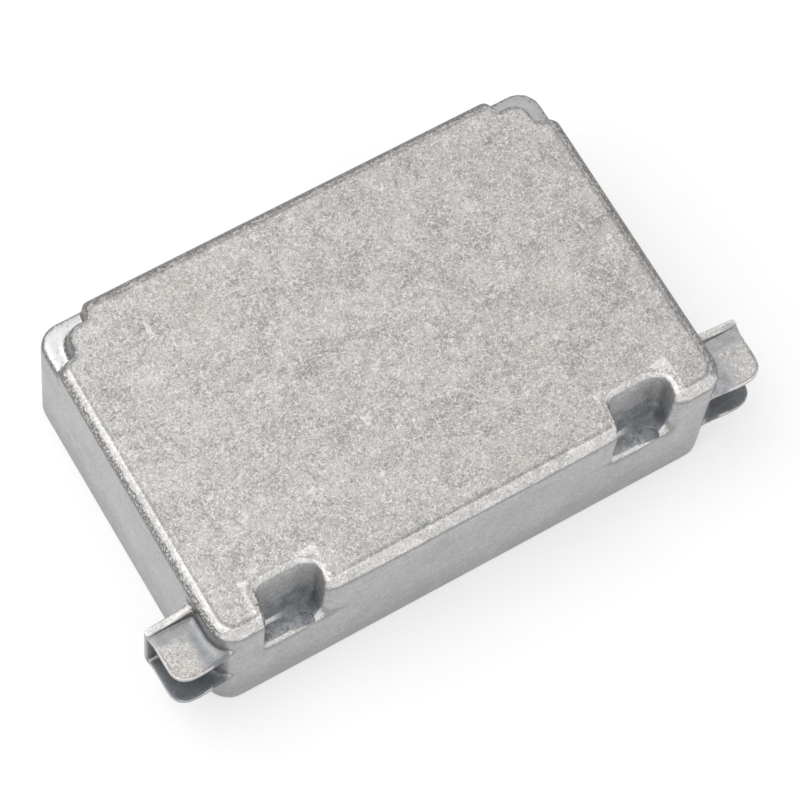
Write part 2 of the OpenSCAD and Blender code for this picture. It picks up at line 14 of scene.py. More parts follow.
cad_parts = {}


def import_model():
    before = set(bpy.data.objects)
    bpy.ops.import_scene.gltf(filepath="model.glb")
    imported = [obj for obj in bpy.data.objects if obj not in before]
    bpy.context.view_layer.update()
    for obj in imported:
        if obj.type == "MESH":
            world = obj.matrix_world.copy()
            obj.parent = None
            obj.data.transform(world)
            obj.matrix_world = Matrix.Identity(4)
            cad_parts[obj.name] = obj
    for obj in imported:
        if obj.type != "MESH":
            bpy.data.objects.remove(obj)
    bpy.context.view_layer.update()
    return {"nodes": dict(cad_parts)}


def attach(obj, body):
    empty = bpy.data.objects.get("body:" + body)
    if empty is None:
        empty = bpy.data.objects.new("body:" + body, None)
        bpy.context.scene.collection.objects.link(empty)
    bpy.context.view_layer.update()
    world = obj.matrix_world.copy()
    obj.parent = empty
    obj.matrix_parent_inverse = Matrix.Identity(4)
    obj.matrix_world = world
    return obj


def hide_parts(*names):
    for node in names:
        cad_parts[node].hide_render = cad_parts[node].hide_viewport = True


# What the functions below take and give. A node stands for its first output.
Mesh = bmesh.types.BMesh
Piece = bpy.types.Object
Signal = bpy.types.Node | bpy.types.NodeSocket | float

LOG = logging.getLogger("charger")
# One millimetre in metres.
MM = 0.001
# Places closer than this, in millimetres, count as one.
TOUCH = 0.01
# Millimetres by which a cutting shape reaches past what it cuts.
OVER = 1.0
# How far a rounded edge lies inside the sharp one along either side, as a share of its radius.
ROUNDED = 1 - math.sqrt(0.5)


def bend(a: float, b: float, centre: tuple, radius: float, up: int = 1, split: float = 45.0) -> tuple[float, float]:
    """Bends a square corner round, so that its two outer sides become one arc. Other places stay.

    Args:
        a: First coordinate. The first side faces its greater values.
        b: Second coordinate.
        centre: The arc's centre.
        radius: The arc's radius, which is how far both sides lie from the centre.
        up: 1 where the second side faces the greater values of b, -1 where it faces the smaller ones.
        split: Angle on the arc, in degrees, where the square's corner ends up.

    Returns:
        The two coordinates after bending.
    """
    u, v = a - centre[0], up * (b - centre[1])
    reach = max(u, v)
    if min(u, v) <= 0 or reach > radius + TOUCH:
        return a, b
    angle = math.radians(split * v / u if u >= v else 90.0 - (90.0 - split) * u / v)
    return centre[0] + reach * math.cos(angle), centre[1] + up * reach * math.sin(angle)


def chosen(mesh: Mesh, test: Callable[[Vector], bool]) -> list:
    """Lists the faces whose middle passes a test."""
    return [face for face in mesh.faces if test(face.calc_center_median())]


def extruded(mesh: Mesh, faces: list) -> list[list]:
    """Extrudes a patch of faces and removes the old patch, which would stay inside.

    Args:
        mesh: Mesh that holds the patch.
        faces: The patch.

    Returns:
        The new patch's vertices, still in their old places, and its faces.
    """
    made = bmesh.ops.extrude_face_region(mesh, geom=faces)["geom"]
    bmesh.ops.delete(mesh, geom=faces, context="FACES")
    return [[item for item in made if isinstance(item, kind)] for kind in (bmesh.types.BMVert, bmesh.types.BMFace)]


def push(mesh: Mesh, faces: list, axis: int, stops: list[float]) -> None:
    """Extrudes a patch of faces in steps.

    Args:
        mesh: Mesh that holds the patch.
        faces: The patch.
        axis: Number of the axis along which it goes.
        stops: Its place on that axis after each step.
    """
    for stop in stops:
        verts, faces = extruded(mesh, faces)
        for vert in verts:
            vert.co[axis] = stop


def bevelled(mesh: Mesh, edges: list, offset: float, segments: int) -> None:
    """Rounds some edges of a mesh."""
    bmesh.ops.bevel(mesh, geom=edges, offset=offset, segments=segments, profile=0.5, affect="EDGES", material=-1)


def add_slab(mesh: Mesh, low: tuple, high: tuple, corner: float = 0.0) -> None:
    """Adds a block.

    Args:
        mesh: Mesh to add to.
        low: Its lowest corner.
        high: Its highest corner.
        corner: Radius of its upright edges, or 0 for square ones.
    """
    verts = bmesh.ops.create_cube(mesh, size=1.0)["verts"]
    bmesh.ops.scale(mesh, vec=Vector(high) - Vector(low), verts=verts)
    bmesh.ops.translate(mesh, vec=(Vector(low) + Vector(high)) / 2, verts=verts)
    if corner:
        bevelled(mesh, list({edge for vert in verts for edge in vert.link_edges
                             if abs(edge.verts[0].co.z - edge.verts[1].co.z) > TOUCH}), corner,
                 segments=8)


def add_rod(mesh: Mesh, x: float, y: float, low: float, high: float, radius: float, top_radius: float = 0.0,
            sides: int = 48) -> list:
    """Adds an upright rod or cone.

    Args:
        mesh: Mesh to add to.
        x: Place of its axis along X.
        y: Place of its axis along Y.
        low: Height of its lower end.
        high: Height of its upper end.
        radius: Radius of the rod, or of its lower end.
        top_radius: Radius of its upper end, or 0 for the same.
        sides: Number of its sides.

    Returns:
        Its vertices.
    """
    return bmesh.ops.create_cone(mesh, cap_ends=True, segments=sides, radius1=radius,
                                 radius2=top_radius or radius, depth=high - low,
                                 matrix=Matrix.Translation((x, y, (low + high) / 2)))["verts"]


def turned(outline: list, steps: int, closed: bool = False) -> Mesh:
    """Turns an outline about the Z axis into a solid with closed poles and outward faces.

    Args:
        outline: Pairs of radius and height.
        steps: Number of steps round the axis.
        closed: Whether the outline's last corner joins its first, as on a ring.

    Returns:
        The mesh.
    """
    mesh = bmesh.new()
    corners = [mesh.verts.new((radius, 0.0, height)) for radius, height in outline]
    ends = corners[1:] + corners[:1] if closed else corners[1:]
    sides = [mesh.edges.new(pair) for pair in zip(corners, ends)]
    bmesh.ops.spin(mesh, geom=corners + sides, cent=(0, 0, 0), axis=(0, 0, 1), angle=math.tau, steps=steps,
                   use_merge=True)
    bmesh.ops.remove_doubles(mesh, verts=mesh.verts, dist=TOUCH / 10)
    bmesh.ops.recalc_face_normals(mesh, faces=mesh.faces)
    return mesh


def add_object(name: str, mesh: Mesh) -> Piece:
    """Turns a bmesh into an object of the scene.

    Args:
        name: Name of the object and its mesh.
        mesh: Mesh, which is freed.

    Returns:
        The object.
    """
    bmesh.ops.recalc_face_normals(mesh, faces=mesh.faces)
    data = bpy.data.meshes.new(name)
    mesh.to_mesh(data)
    mesh.free()
    made = bpy.data.objects.new(name, data)
    bpy.context.scene.collection.objects.link(made)
    return made


def baked(made: Piece) -> Piece:
    """Applies an object's modifiers to its mesh.

    Args:
        made: Object, which is changed.

    Returns:
        The same object.
    """
    graph = bpy.context.evaluated_depsgraph_get()
    old, made.data = made.data, bpy.data.meshes.new_from_object(made.evaluated_get(graph))
    made.modifiers.clear()
    bpy.data.meshes.remove(old)
    return made


def cut(body: Piece, tool: Piece, operation: str = "DIFFERENCE", overlapping: bool = True) -> Piece:
    """Applies one solid to another and removes the tool.

    Args:
        body: Solid that is kept.
        tool: Solid that acts on it.
        operation: Name of the Boolean operation.
        overlapping: Whether either solid is made of shapes that overlap.

    Returns:
        The changed solid.
    """
    boolean = body.modifiers.new("cut", "BOOLEAN")
    boolean.object, boolean.operation, boolean.solver, boolean.use_self = tool, operation, "EXACT", overlapping
    baked(body)
    bpy.data.objects.remove(tool)
    return body


def finished(piece: Piece, name: str, sharp_angle: float) -> Piece:
    """Names a piece, brings it from millimetres to metres and shades it smooth between its sharp edges.

    Args:
        piece: Piece in millimetres.
        name: Its name.
        sharp_angle: Angle in degrees past which an edge is sharp.

    Returns:
        The same piece.
    """
    mesh = bmesh.new()
    mesh.from_mesh(piece.data)
    bmesh.ops.dissolve_degenerate(mesh, edges=mesh.edges, dist=TOUCH / 10)
    bmesh.ops.scale(mesh, vec=(MM, MM, MM), verts=mesh.verts)
    for face in mesh.faces:
        face.smooth = True
    for edge in mesh.edges:
        edge.smooth = edge.calc_face_angle(0.0) < math.radians(sharp_angle)
    mesh.to_mesh(piece.data)
    mesh.free()
    piece.name = piece.data.name = name
    return piece


def register(piece: Piece, material: bpy.types.Material, node: str) -> None:
    """Dresses a new piece, hangs it on the root body and hides the CAD node that it replaces.

    Args:
        piece: Finished piece.
        material: Its material.
        node: CAD node that it replaces.
    """
    piece.data.materials.append(material)
    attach(piece, "root")
    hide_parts(node)
    LOG.info("%s: %d faces", piece.name, len(piece.data.polygons))


def linear(code: str) -> tuple[float, float, float, float]:
    """Turns an sRGB hex colour into the linear red, green, blue and alpha that a shader takes."""
    parts = [int(code[place:place + 2], 16) / 255 for place in (0, 2, 4)]
    return *(part / 12.92 if part <= 0.04045 else ((part + 0.055) / 1.055) ** 2.4 for part in parts), 1.0


class Shader:
    """The node tree of a material or a world while it is being drawn."""

    def __init__(self, owner: bpy.types.Material | bpy.types.World) -> None:
        """Takes up a material or a world.

        Args:
            owner: The material or world, whose node tree is emptied.
        """
        owner.use_nodes = True
        self.owner, self.tree = owner, owner.node_tree
        self.tree.nodes.clear()

    def add(self, kind: str, inputs: dict | None = None, **settings: object) -> bpy.types.Node:
        """Adds a node with its settings, values and links.

        Args:
            kind: Blender's type name of the node, without ShaderNode.
            inputs: Value, socket or node for each input's name or number. A node stands for its first output.
            settings: Properties of the node.

        Returns:
            The node.
        """
        made = self.tree.nodes.new("ShaderNode" + kind)
        for key, value in settings.items():
            setattr(made, key, value)
        for key, value in (inputs or {}).items():
            if isinstance(value, bpy.types.Node):
                value = value.outputs[0]
            if isinstance(value, bpy.types.NodeSocket):
                self.tree.links.new(value, made.inputs[key])
            else:
                made.inputs[key].default_value = value
        return made

    def join(self, operation: str, masks: tuple) -> Signal:
        """Joins masks into one.

        Args:
            operation: Blender's name of the arithmetic that joins them.
            masks: Signals, or soft limits: a signal, its value where the mask is 0 and its value where it is 1.

        Returns:
            The joined mask.
        """
        joined = None
        for mask in masks:
            if isinstance(mask, tuple):
                value, off, on = mask
                mask = self.add("MapRange", {"Value": value, "From Min": min(off, on), "From Max": max(off, on),
                                             "To Min": float(off > on), "To Max": float(on > off)},
                                interpolation_type="SMOOTHSTEP")
            joined = mask if joined is None else self.add("Math", {0: joined, 1: mask}, operation=operation)
        return joined

    def all_of(self, *masks: Signal | tuple) -> Signal:
        """Joins masks so that the result is 1 only where all of them are. A number is a strength."""
        return self.join("MULTIPLY", masks)

    def any_of(self, *masks: Signal | tuple) -> Signal:
        """Joins masks so that the result is 1 where any of them is."""
        return self.join("MAXIMUM", masks)

    def total(self, *parts: tuple[Signal, float]) -> Signal:
        """Adds values by weight.

        Args:
            parts: Pairs of a value and its weight.

        Returns:
            The total.
        """
        total = 0.0
        for value, weight in parts:
            total = self.add("Math", {0: value, 1: weight, 2: total}, operation="MULTIPLY_ADD")
        return total

    def coat(self, under: Signal | str, *layers: tuple, kind: str = "MIX") -> Signal:
        """Lays colours over one another. A colour is a hex code or a socket.

        Args:
            under: Lowest colour.
            layers: For each layer its colour, then where it lies and how strongly, as all_of() takes it.
            kind: Blender's name of the way to mix.

        Returns:
            The mixed colour.
        """
        for over, *masks in layers:
            below, above = (linear(item) if isinstance(item, str) else item for item in (under, over))
            under = self.add("Mix", {0: self.all_of(*masks), 6: below, 7: above}, data_type="RGBA",
                             blend_type=kind).outputs[2]
        return under

    def places(self) -> Signal:
        """Gives the place on the object in millimetres."""
        place = self.add("TexCoord").outputs["Object"]
        return self.add("VectorMath", {0: place, 1: (1 / MM,) * 3}, operation="MULTIPLY")

    def noise(self, place: Signal, size: float, detail: float = 2.0, stretch: tuple = (1.0, 1.0, 1.0)) -> Signal:
        """Draws noise of a given grain.

        Args:
            place: Place in millimetres.
            size: Width of one grain in millimetres.
            detail: Number of finer layers.
            stretch: How many times longer a grain is along X, Y and Z.

        Returns:
            The noise, from 0 to 1.
        """
        frequency = tuple(1 / (size * factor) for factor in stretch)
        scaled = self.add("VectorMath", {0: place, 1: frequency}, operation="MULTIPLY")
        return self.add("TexNoise", {"Vector": scaled, "Scale": 1.0, "Detail": detail})

    def surface(self, height: Signal, depth: float, **inputs: Signal) -> bpy.types.Material:
        """Ends the material in its surface shader.

        Args:
            height: Height of the surface, from 0 to 1.
            depth: Millimetres that a height of 1 stands for.
            inputs: Inputs of the surface shader, with underscores for spaces.

        Returns:
            The material.
        """
        values = {key.replace("_", " "): value for key, value in inputs.items()}
        values["Normal"] = self.add("Bump", {"Height": height, "Distance": depth * MM, "Strength": 1.0})
        self.add("OutputMaterial", {"Surface": self.add("BsdfPrincipled", values)})
        return self.owner


@dataclass
class HousingShell:
    """The outside of the die casting: a drafted box with ledges, pockets and lugs, in millimetres.

    A block is cut into a grid, the pockets and ledges are extruded into it, the grid is bent to shape, and the
    lugs are extruded out of it. Both halves are alike but for the corners of the pockets.
    """

    half_length: float = 70.0
    half_width: float = 46.5
    height: float = 44.0
    draft: float = 0.018
    draft_depth: float = 6.0
    corner_radius: float = 6.8
    front_split: float = 70.0
    edge_radius: float = 3.5
    pocket_inner: float = 39.75
    pocket_outer: float = 56.0
    pocket_back: float = -37.0
    pocket_lean: float = 1.8
    pocket_floor: float = 26.0
    pocket_corner: float = 3.5
    pocket_cove: float = 4.0
    back_rim: float = 2.4
    side_rim: float = 1.4
    lip: float = 1.5
    front_round: float = 2.2
    far_round: float = 3.6
    # The near wall of a pocket flares by this much over each such length, from this share of it on.
    flare: float = 1.3
    flare_length: float = 7.0
    flare_start: float = 0.6
    # The far wall comes in at the front by this much, and by less at the top.
    narrow: float = 2.6
    narrow_less: float = 1.2
    # The walls of a ledge lean, drift away from its boss where they reach the outside, and join the boss.
    side_wall: float = 56.3
    side_lean: float = 0.7
    side_drift: float = 0.9
    side_join: tuple = (0.4, -0.3)
    back_wall: float = 33.5
    back_lean: float = 1.1
    back_drift: float = 1.5
    back_join: tuple = (-0.1, 0.5)
    ledge_back: float = 33.3
    ledge_height: float = 38.0
    ledge_round: float = 0.3
    boss_x: float = 59.0
    boss_y: float = 36.4
    boss_radius: float = 5.3
    boss_foot: float = 5.65
    boss_rim: float = 4.3
    boss_taper: float = 0.165
    web_tip: float = 81.4
    lug_tip: float = 81.0
    lug_front: float = -46.4
    web_front: float = -32.8
    web_back: float = -30.7
    lug_low: float = 15.5
    lug_high: float = 34.0
    flange: float = 1.8
    lug_corner: float = 4.5
    lug_root: float = 2.1
    lug_middle: float = 74.4
    gusset_wall: float = 37.3
    gusset_tip: float = 34.3
    crease: float = 0.3
    crease_angle: float = 50.0
    smooth_levels: int = 2
    # Cuts beside the features' own edges, which hold the subdivided surface to them.
    spare_x: tuple = (20.0, 47.9, 57.6, 59.2, 61.2)
    spare_y: tuple = (-28.5, -12.0, 12.0, 31.6, 35.0)
    spare_z: tuple = (0.8, 8.0, 13.5, 19.0, 30.4, 35.9, 39.3)

    def cuts(self) -> tuple[list[float], list[float], list[float]]:
        """Lists where the block is cut before it is shaped.

        Returns:
            Places of the cuts along X (right half), Y and Z, in order.
        """
        corner, edge = self.pocket_corner / 2, self.edge_radius / 2
        x_half = [self.pocket_inner - self.side_rim, self.half_length - self.corner_radius,
                  self.boss_x + self.boss_radius, *self.spare_x]
        y_all = [self.pocket_back + self.back_rim, self.web_front, self.web_back, self.ledge_back, self.boss_y,
                 self.half_width - self.corner_radius, self.boss_y + self.boss_radius, *self.spare_y]
        z_all = [self.lug_low, self.lug_low + self.flange, self.lug_high - self.flange, self.lug_high,
                 self.pocket_floor - self.lip, self.pocket_floor, self.pocket_floor + self.pocket_cove / 2,
                 self.ledge_height, *self.spare_z]
        for step in range(3):
            x_half += [self.pocket_inner + step * corner, self.pocket_outer - step * corner]
            y_all.append(self.pocket_back - step * corner)
        for step in (1, 2):
            x_half.append(self.half_length - step * edge)
            y_all += [self.half_width - step * edge, step * edge - self.half_width]
            z_all.append(self.height - step * edge)
        return sorted(x_half), sorted(y_all), sorted(z_all)

    def block(self) -> Mesh:
        """Makes the plain block, cut through at every place in cuts().

        Returns:
            The mesh, in millimetres.
        """
        mesh = bmesh.new()
        add_slab(mesh, (-self.half_length, -self.half_width, 0.0), (self.half_length, self.half_width, self.height))
        x_half, y_all, z_all = self.cuts()
        x_all = [side * x for x in x_half for side in (-1, 1)]
        for normal, places in zip(Matrix.Identity(3), (x_all, y_all, z_all)):
            for place in places:
                bmesh.ops.bisect_plane(mesh, geom=mesh.verts[:] + mesh.edges[:] + mesh.faces[:], dist=TOUCH / 10,
                                       plane_co=normal * place, plane_no=normal)
        return mesh

    def in_ledge(self, x: float, y: float) -> bool:
        """Tells whether a place on the top lies in a ledge and off its boss.

        Args:
            x: Distance from the middle of the box along its length.
            y: Place along the width.

        Returns:
            Whether it does.
        """
        if x < self.pocket_outer or y < self.ledge_back:
            return False
        return x > self.boss_x + self.boss_radius or y > self.boss_y + self.boss_radius

    def is_left_over(self, at: Vector) -> bool:
        """Tells whether a face of the block's skin closes a sunk feature that is open there.

        Args:
            at: Middle of the face.

        Returns:
            Whether the face has to go.
        """
        across = abs(at.x)
        if self.in_ledge(across, at.y) and at.z > self.ledge_height:
            return across > self.half_length - TOUCH or at.y > self.half_width - TOUCH
        return (at.z > self.height - TOUCH and at.y < self.pocket_back
                and self.pocket_inner < across < self.pocket_outer)

    def sink_features(self, mesh: Mesh) -> None:
        """Presses the pockets in from the front and the ledges down from the top of the cut block.

        Args:
            mesh: Cut block, which is changed.
        """
        _, y_all, z_all = self.cuts()
        pocket_stops = [y for y in y_all if y < self.pocket_back + TOUCH]
        ledge_stops = [z for z in reversed(z_all) if z > self.ledge_height - TOUCH]
        for side in (-1, 1):
            push(mesh, chosen(mesh, lambda at: at.y < TOUCH - self.half_width and at.z > self.pocket_floor
                              and self.pocket_inner < side * at.x < self.pocket_outer), 1, pocket_stops)
            push(mesh, chosen(mesh, lambda at: at.z > self.height - TOUCH and self.in_ledge(side * at.x, at.y)),
                 2, ledge_stops)
        bmesh.ops.delete(mesh, geom=chosen(mesh, self.is_left_over), context="FACES")
        bmesh.ops.remove_doubles(mesh, verts=mesh.verts, dist=TOUCH)

    def is_root(self, at: Vector) -> bool:
        """Tells whether a lug's web or one of its flanges grows out of a face of the end wall.

        Args:
            at: Middle of the face.

        Returns:
            Whether it does.
        """
        if abs(at.x) < self.half_length - TOUCH or at.y > self.web_back:
            return False
        if at.y > self.web_front:
            return self.lug_low < at.z < self.ledge_height
        return 0 < at.z - self.lug_low < self.flange or 0 < self.lug_high - at.z < self.flange

    def boss_place(self, x: float, y: float, z: float) -> tuple[float, float]:
        """Bends the square boss of a ledge round and shapes the ledge's two walls, which run into it.

        Args:
            x: Distance from the middle of the box along its length.
            y: Place along the width.
            z: Height, which widens the boss and leans the walls towards the ledge.

        Returns:
            The place of x and y on the boss or the walls.
        """
        drop = (self.height - z) / (self.height - self.ledge_height)
        right, behind = self.boss_x + self.boss_radius, self.boss_y + self.boss_radius
        if x < self.pocket_outer + TOUCH and y > behind - TOUCH:
            outward = max(0.0, 1 + (y - self.half_width) / self.edge_radius)
            x = self.side_wall + self.side_lean * drop - self.side_drift * outward ** 2
            return (x + self.side_join[0], y + self.side_join[1]) if y < behind + TOUCH else (x, y)
        if y < self.ledge_back + TOUCH and x > right - TOUCH:
            outward = max(0.0, 1 + (x - self.half_length) / self.edge_radius)
            y = self.back_wall + self.back_lean * drop - self.back_drift * outward ** 2
            return (x + self.back_join[0], y + self.back_join[1]) if x < right + TOUCH else (x, y)
        if x > right + TOUCH or y > behind + TOUCH:
            return x, y
        radius = self.boss_rim if drop < TOUCH else self.boss_foot - self.boss_taper * (z - self.ledge_height)
        u, v = x - self.boss_x, y - self.boss_y
        if u > 0 and v > 0:
            u, v = bend(u, v, (0.0, 0.0), self.boss_radius)
        elif u > 0:
            u *= math.sqrt(1 - (v / self.boss_radius) ** 2)
        elif v > 0:
            v *= math.sqrt(1 - (u / self.boss_radius) ** 2)
        scale = radius / self.boss_radius
        return self.boss_x + (u * scale if u > 0 else u), self.boss_y + (v * scale if v > 0 else v)

    def pocket_place(self, x: float, y: float, z: float, side: float) -> tuple[float, float, float]:
        """Bends a pocket's upright corners, its coves and its rims round, and leans and flares its walls.

        Args:
            x: Distance from the middle of the box along its length.
            y: Place along the width.
            z: Height.
            side: 1 for the right pocket, -1 for the left.

        Returns:
            The place after bending.
        """
        middle, half = (self.pocket_outer + self.pocket_inner) / 2, (self.pocket_outer - self.pocket_inner) / 2
        tall, cove = self.height - self.pocket_floor, self.pocket_cove
        out = 1 if x > middle else -1
        tight = out * side < 0
        corner = self.pocket_corner / 2 if tight else self.pocket_corner
        across, rise = abs(x - middle), z - self.pocket_floor
        on_wall, on_front = abs(across - half) < TOUCH, y < TOUCH - self.half_width
        across, y = bend(across, y, (half - corner, self.pocket_back - corner), corner)
        y, rise = bend(y, rise, (self.pocket_back - cove, cove), cove, -1)
        if not tight:
            across, rise = bend(across, rise, (half - cove, cove), cove, -1)
        if z > self.height - TOUCH:
            if y > self.pocket_back - self.pocket_corner - TOUCH and not on_wall:
                rise, y = bend(rise, y, (rise - self.back_rim, self.pocket_back + self.back_rim), self.back_rim, -1)
            elif on_wall:
                across, rise = across + self.side_rim * ROUNDED, rise - self.side_rim * ROUNDED
        if on_front and rise < TOUCH and not on_wall:
            y, rise = y + self.lip * ROUNDED, rise - self.lip * ROUNDED
        if on_front and on_wall:
            gap = (self.front_round if tight else self.far_round) * ROUNDED
            across, y = across + gap, y + gap
        depth = self.pocket_back - y
        y -= max(0.0, 1 - depth / self.pocket_corner) * self.pocket_lean * (1 - rise / tall)
        if tight and across > half - TOUCH:
            across += self.flare * (depth / self.flare_length - self.flare_start)
        elif across > half - cove:
            front_share = min(1.0, depth / (self.half_width + self.pocket_back))
            across -= (self.narrow - self.narrow_less * rise / tall) * front_share
        return middle + out * across, y, self.pocket_floor + rise

    def edge_place(self, x: float, y: float, z: float) -> tuple[float, float, float]:
        """Rounds the box's top edge and tapers its outer walls.

        Args:
            x: Distance from the middle of the box along its length.
            y: Place along the width.
            z: Height.

        Returns:
            The place after rounding and tapering.
        """
        over_x, over_y = x - self.half_length + self.corner_radius, abs(y) - self.half_width + self.corner_radius
        reach = max(over_x, over_y)
        out_x, out_y = (1.0, 0.0) if over_x > over_y else (0.0, 1.0)
        if over_x > 0 and over_y > 0:
            reach = math.hypot(over_x, over_y)
            out_x, out_y = over_x / reach, over_y / reach
        inset = self.corner_radius - reach
        out, z = bend(-inset, z, (-self.edge_radius, self.height - self.edge_radius), self.edge_radius)
        shift = out + inset - self.draft * z * max(0.0, 1 - inset / self.draft_depth)
        return x + out_x * shift, y + math.copysign(out_y, y) * shift, z

    def place(self, point: Vector) -> Vector:
        """Moves a point of the square block to its place on the casting.

        Args:
            point: Place on the square block.

        Returns:
            Place on the casting, before its lugs.
        """
        x, y, z = abs(point.x), point.y, point.z
        in_ledge = x > self.pocket_outer - TOUCH and y > self.ledge_back - TOUCH and z > self.ledge_height - TOUCH
        on_boss = x < self.boss_x + self.boss_radius + TOUCH and y < self.boss_y + self.boss_radius + TOUCH
        on_wall = x < self.pocket_outer + TOUCH or y < self.ledge_back + TOUCH
        in_pocket = (self.pocket_inner - TOUCH < x < self.pocket_outer + TOUCH and y < self.pocket_back + TOUCH
                     and z > self.pocket_floor - TOUCH)
        if in_ledge and (on_boss or on_wall):
            x, y = self.boss_place(x, y, z)
        elif in_pocket:
            x, y, z = self.pocket_place(x, y, z, math.copysign(1.0, point.x))
        else:
            centre = (self.half_length - self.corner_radius, self.half_width - self.corner_radius)
            x, out = bend(x, abs(y), centre, self.corner_radius, split=45.0 if y > 0 else self.front_split)
            y = math.copysign(out, y)
        x, y, z = self.edge_place(x, y, z)
        if in_ledge and point.z < self.ledge_height + TOUCH and (
                abs(point.x) > self.half_length - TOUCH or point.y > self.half_width - TOUCH):
            back = Vector((x - self.boss_x, y - self.boss_y)).normalized() * self.ledge_round
            x, y, z = x - back.x, y - back.y, z - self.ledge_round
        return Vector((math.copysign(x, point.x), y, z))

    def grow_lug(self, mesh: Mesh, faces: list, side: int) -> None:
        """Extrudes one lug out of the bent end wall and shapes its tip.

        Args:
            mesh: Bent casting, which is changed. Its layers "row" and "rise" hold each vertex's Y and Z
                before bending.
            faces: Faces that the lug grows from.
            side: 1 for the right end, -1 for the left.
        """
        row, rise = (mesh.verts.layers.float[name] for name in ("row", "rise"))
        centre = (self.lug_tip - self.lug_corner, self.lug_front + self.lug_corner)
        for stop in (self.half_length + self.lug_root, self.lug_middle, centre[0], centre[0] + self.lug_corner / 2,
                     self.lug_tip):
            verts, faces = extruded(mesh, faces)
            for vert in verts:
                x, y = bend(stop, max(vert[row], self.lug_front), centre, self.lug_corner, -1)
                if y > self.web_front - TOUCH:
                    x += (self.web_tip - self.lug_tip) * max(0.0, (stop - centre[0]) / self.lug_corner)
                z = vert[rise]
                if z > self.lug_high + TOUCH:
                    reach = (x - self.half_length) / (self.web_tip - self.half_length)
                    top = self.gusset_wall + (self.gusset_tip - self.gusset_wall) * reach
                    share = (z - self.lug_high) / (self.ledge_height - self.lug_high)
                    z = self.lug_high + (top - self.lug_high) * share
                vert.co = (side * x, y, z)

    def cage(self) -> Mesh:
        """Builds the coarse mesh of the casting's outside, ready to be subdivided.

        Returns:
            The mesh, in millimetres.
        """
        mesh = self.block()
        self.sink_features(mesh)
        for name in ("row", "rise"):
            mesh.verts.layers.float.new(name)
        row, rise = (mesh.verts.layers.float[name] for name in ("row", "rise"))
        roots = [chosen(mesh, lambda at: side * at.x > 0 and self.is_root(at)) for side in (-1, 1)]
        for vert in mesh.verts:
            vert[row], vert[rise] = vert.co.y, vert.co.z
            vert.co = self.place(vert.co)
        for side, faces in zip((-1, 1), roots):
            self.grow_lug(mesh, faces, side)
        bmesh.ops.recalc_face_normals(mesh, faces=mesh.faces)
        crease = mesh.edges.layers.float.new("crease_edge")
        for edge in mesh.edges:
            nearest = min(abs(vert.co.x) for vert in edge.verts)
            rearmost = max(vert.co.y for vert in edge.verts)
            on_lug = nearest > self.half_length + TOUCH
            on_rim = rearmost < self.web_front + TOUCH or nearest > self.lug_tip - TOUCH
            if on_lug and on_rim and edge.calc_face_angle_signed(0.0) > math.radians(self.crease_angle):
                edge[crease] = self.crease
        return mesh

    def outside(self) -> Piece:
        """Makes the casting's outside as a subdivided solid.

        Returns:
            The object, in millimetres, with no hollow yet.
        """
        body = add_object("outside", self.cage())
        smooth = body.modifiers.new("smooth", "SUBSURF")
        smooth.levels = smooth.render_levels = self.smooth_levels
        return baked(body)


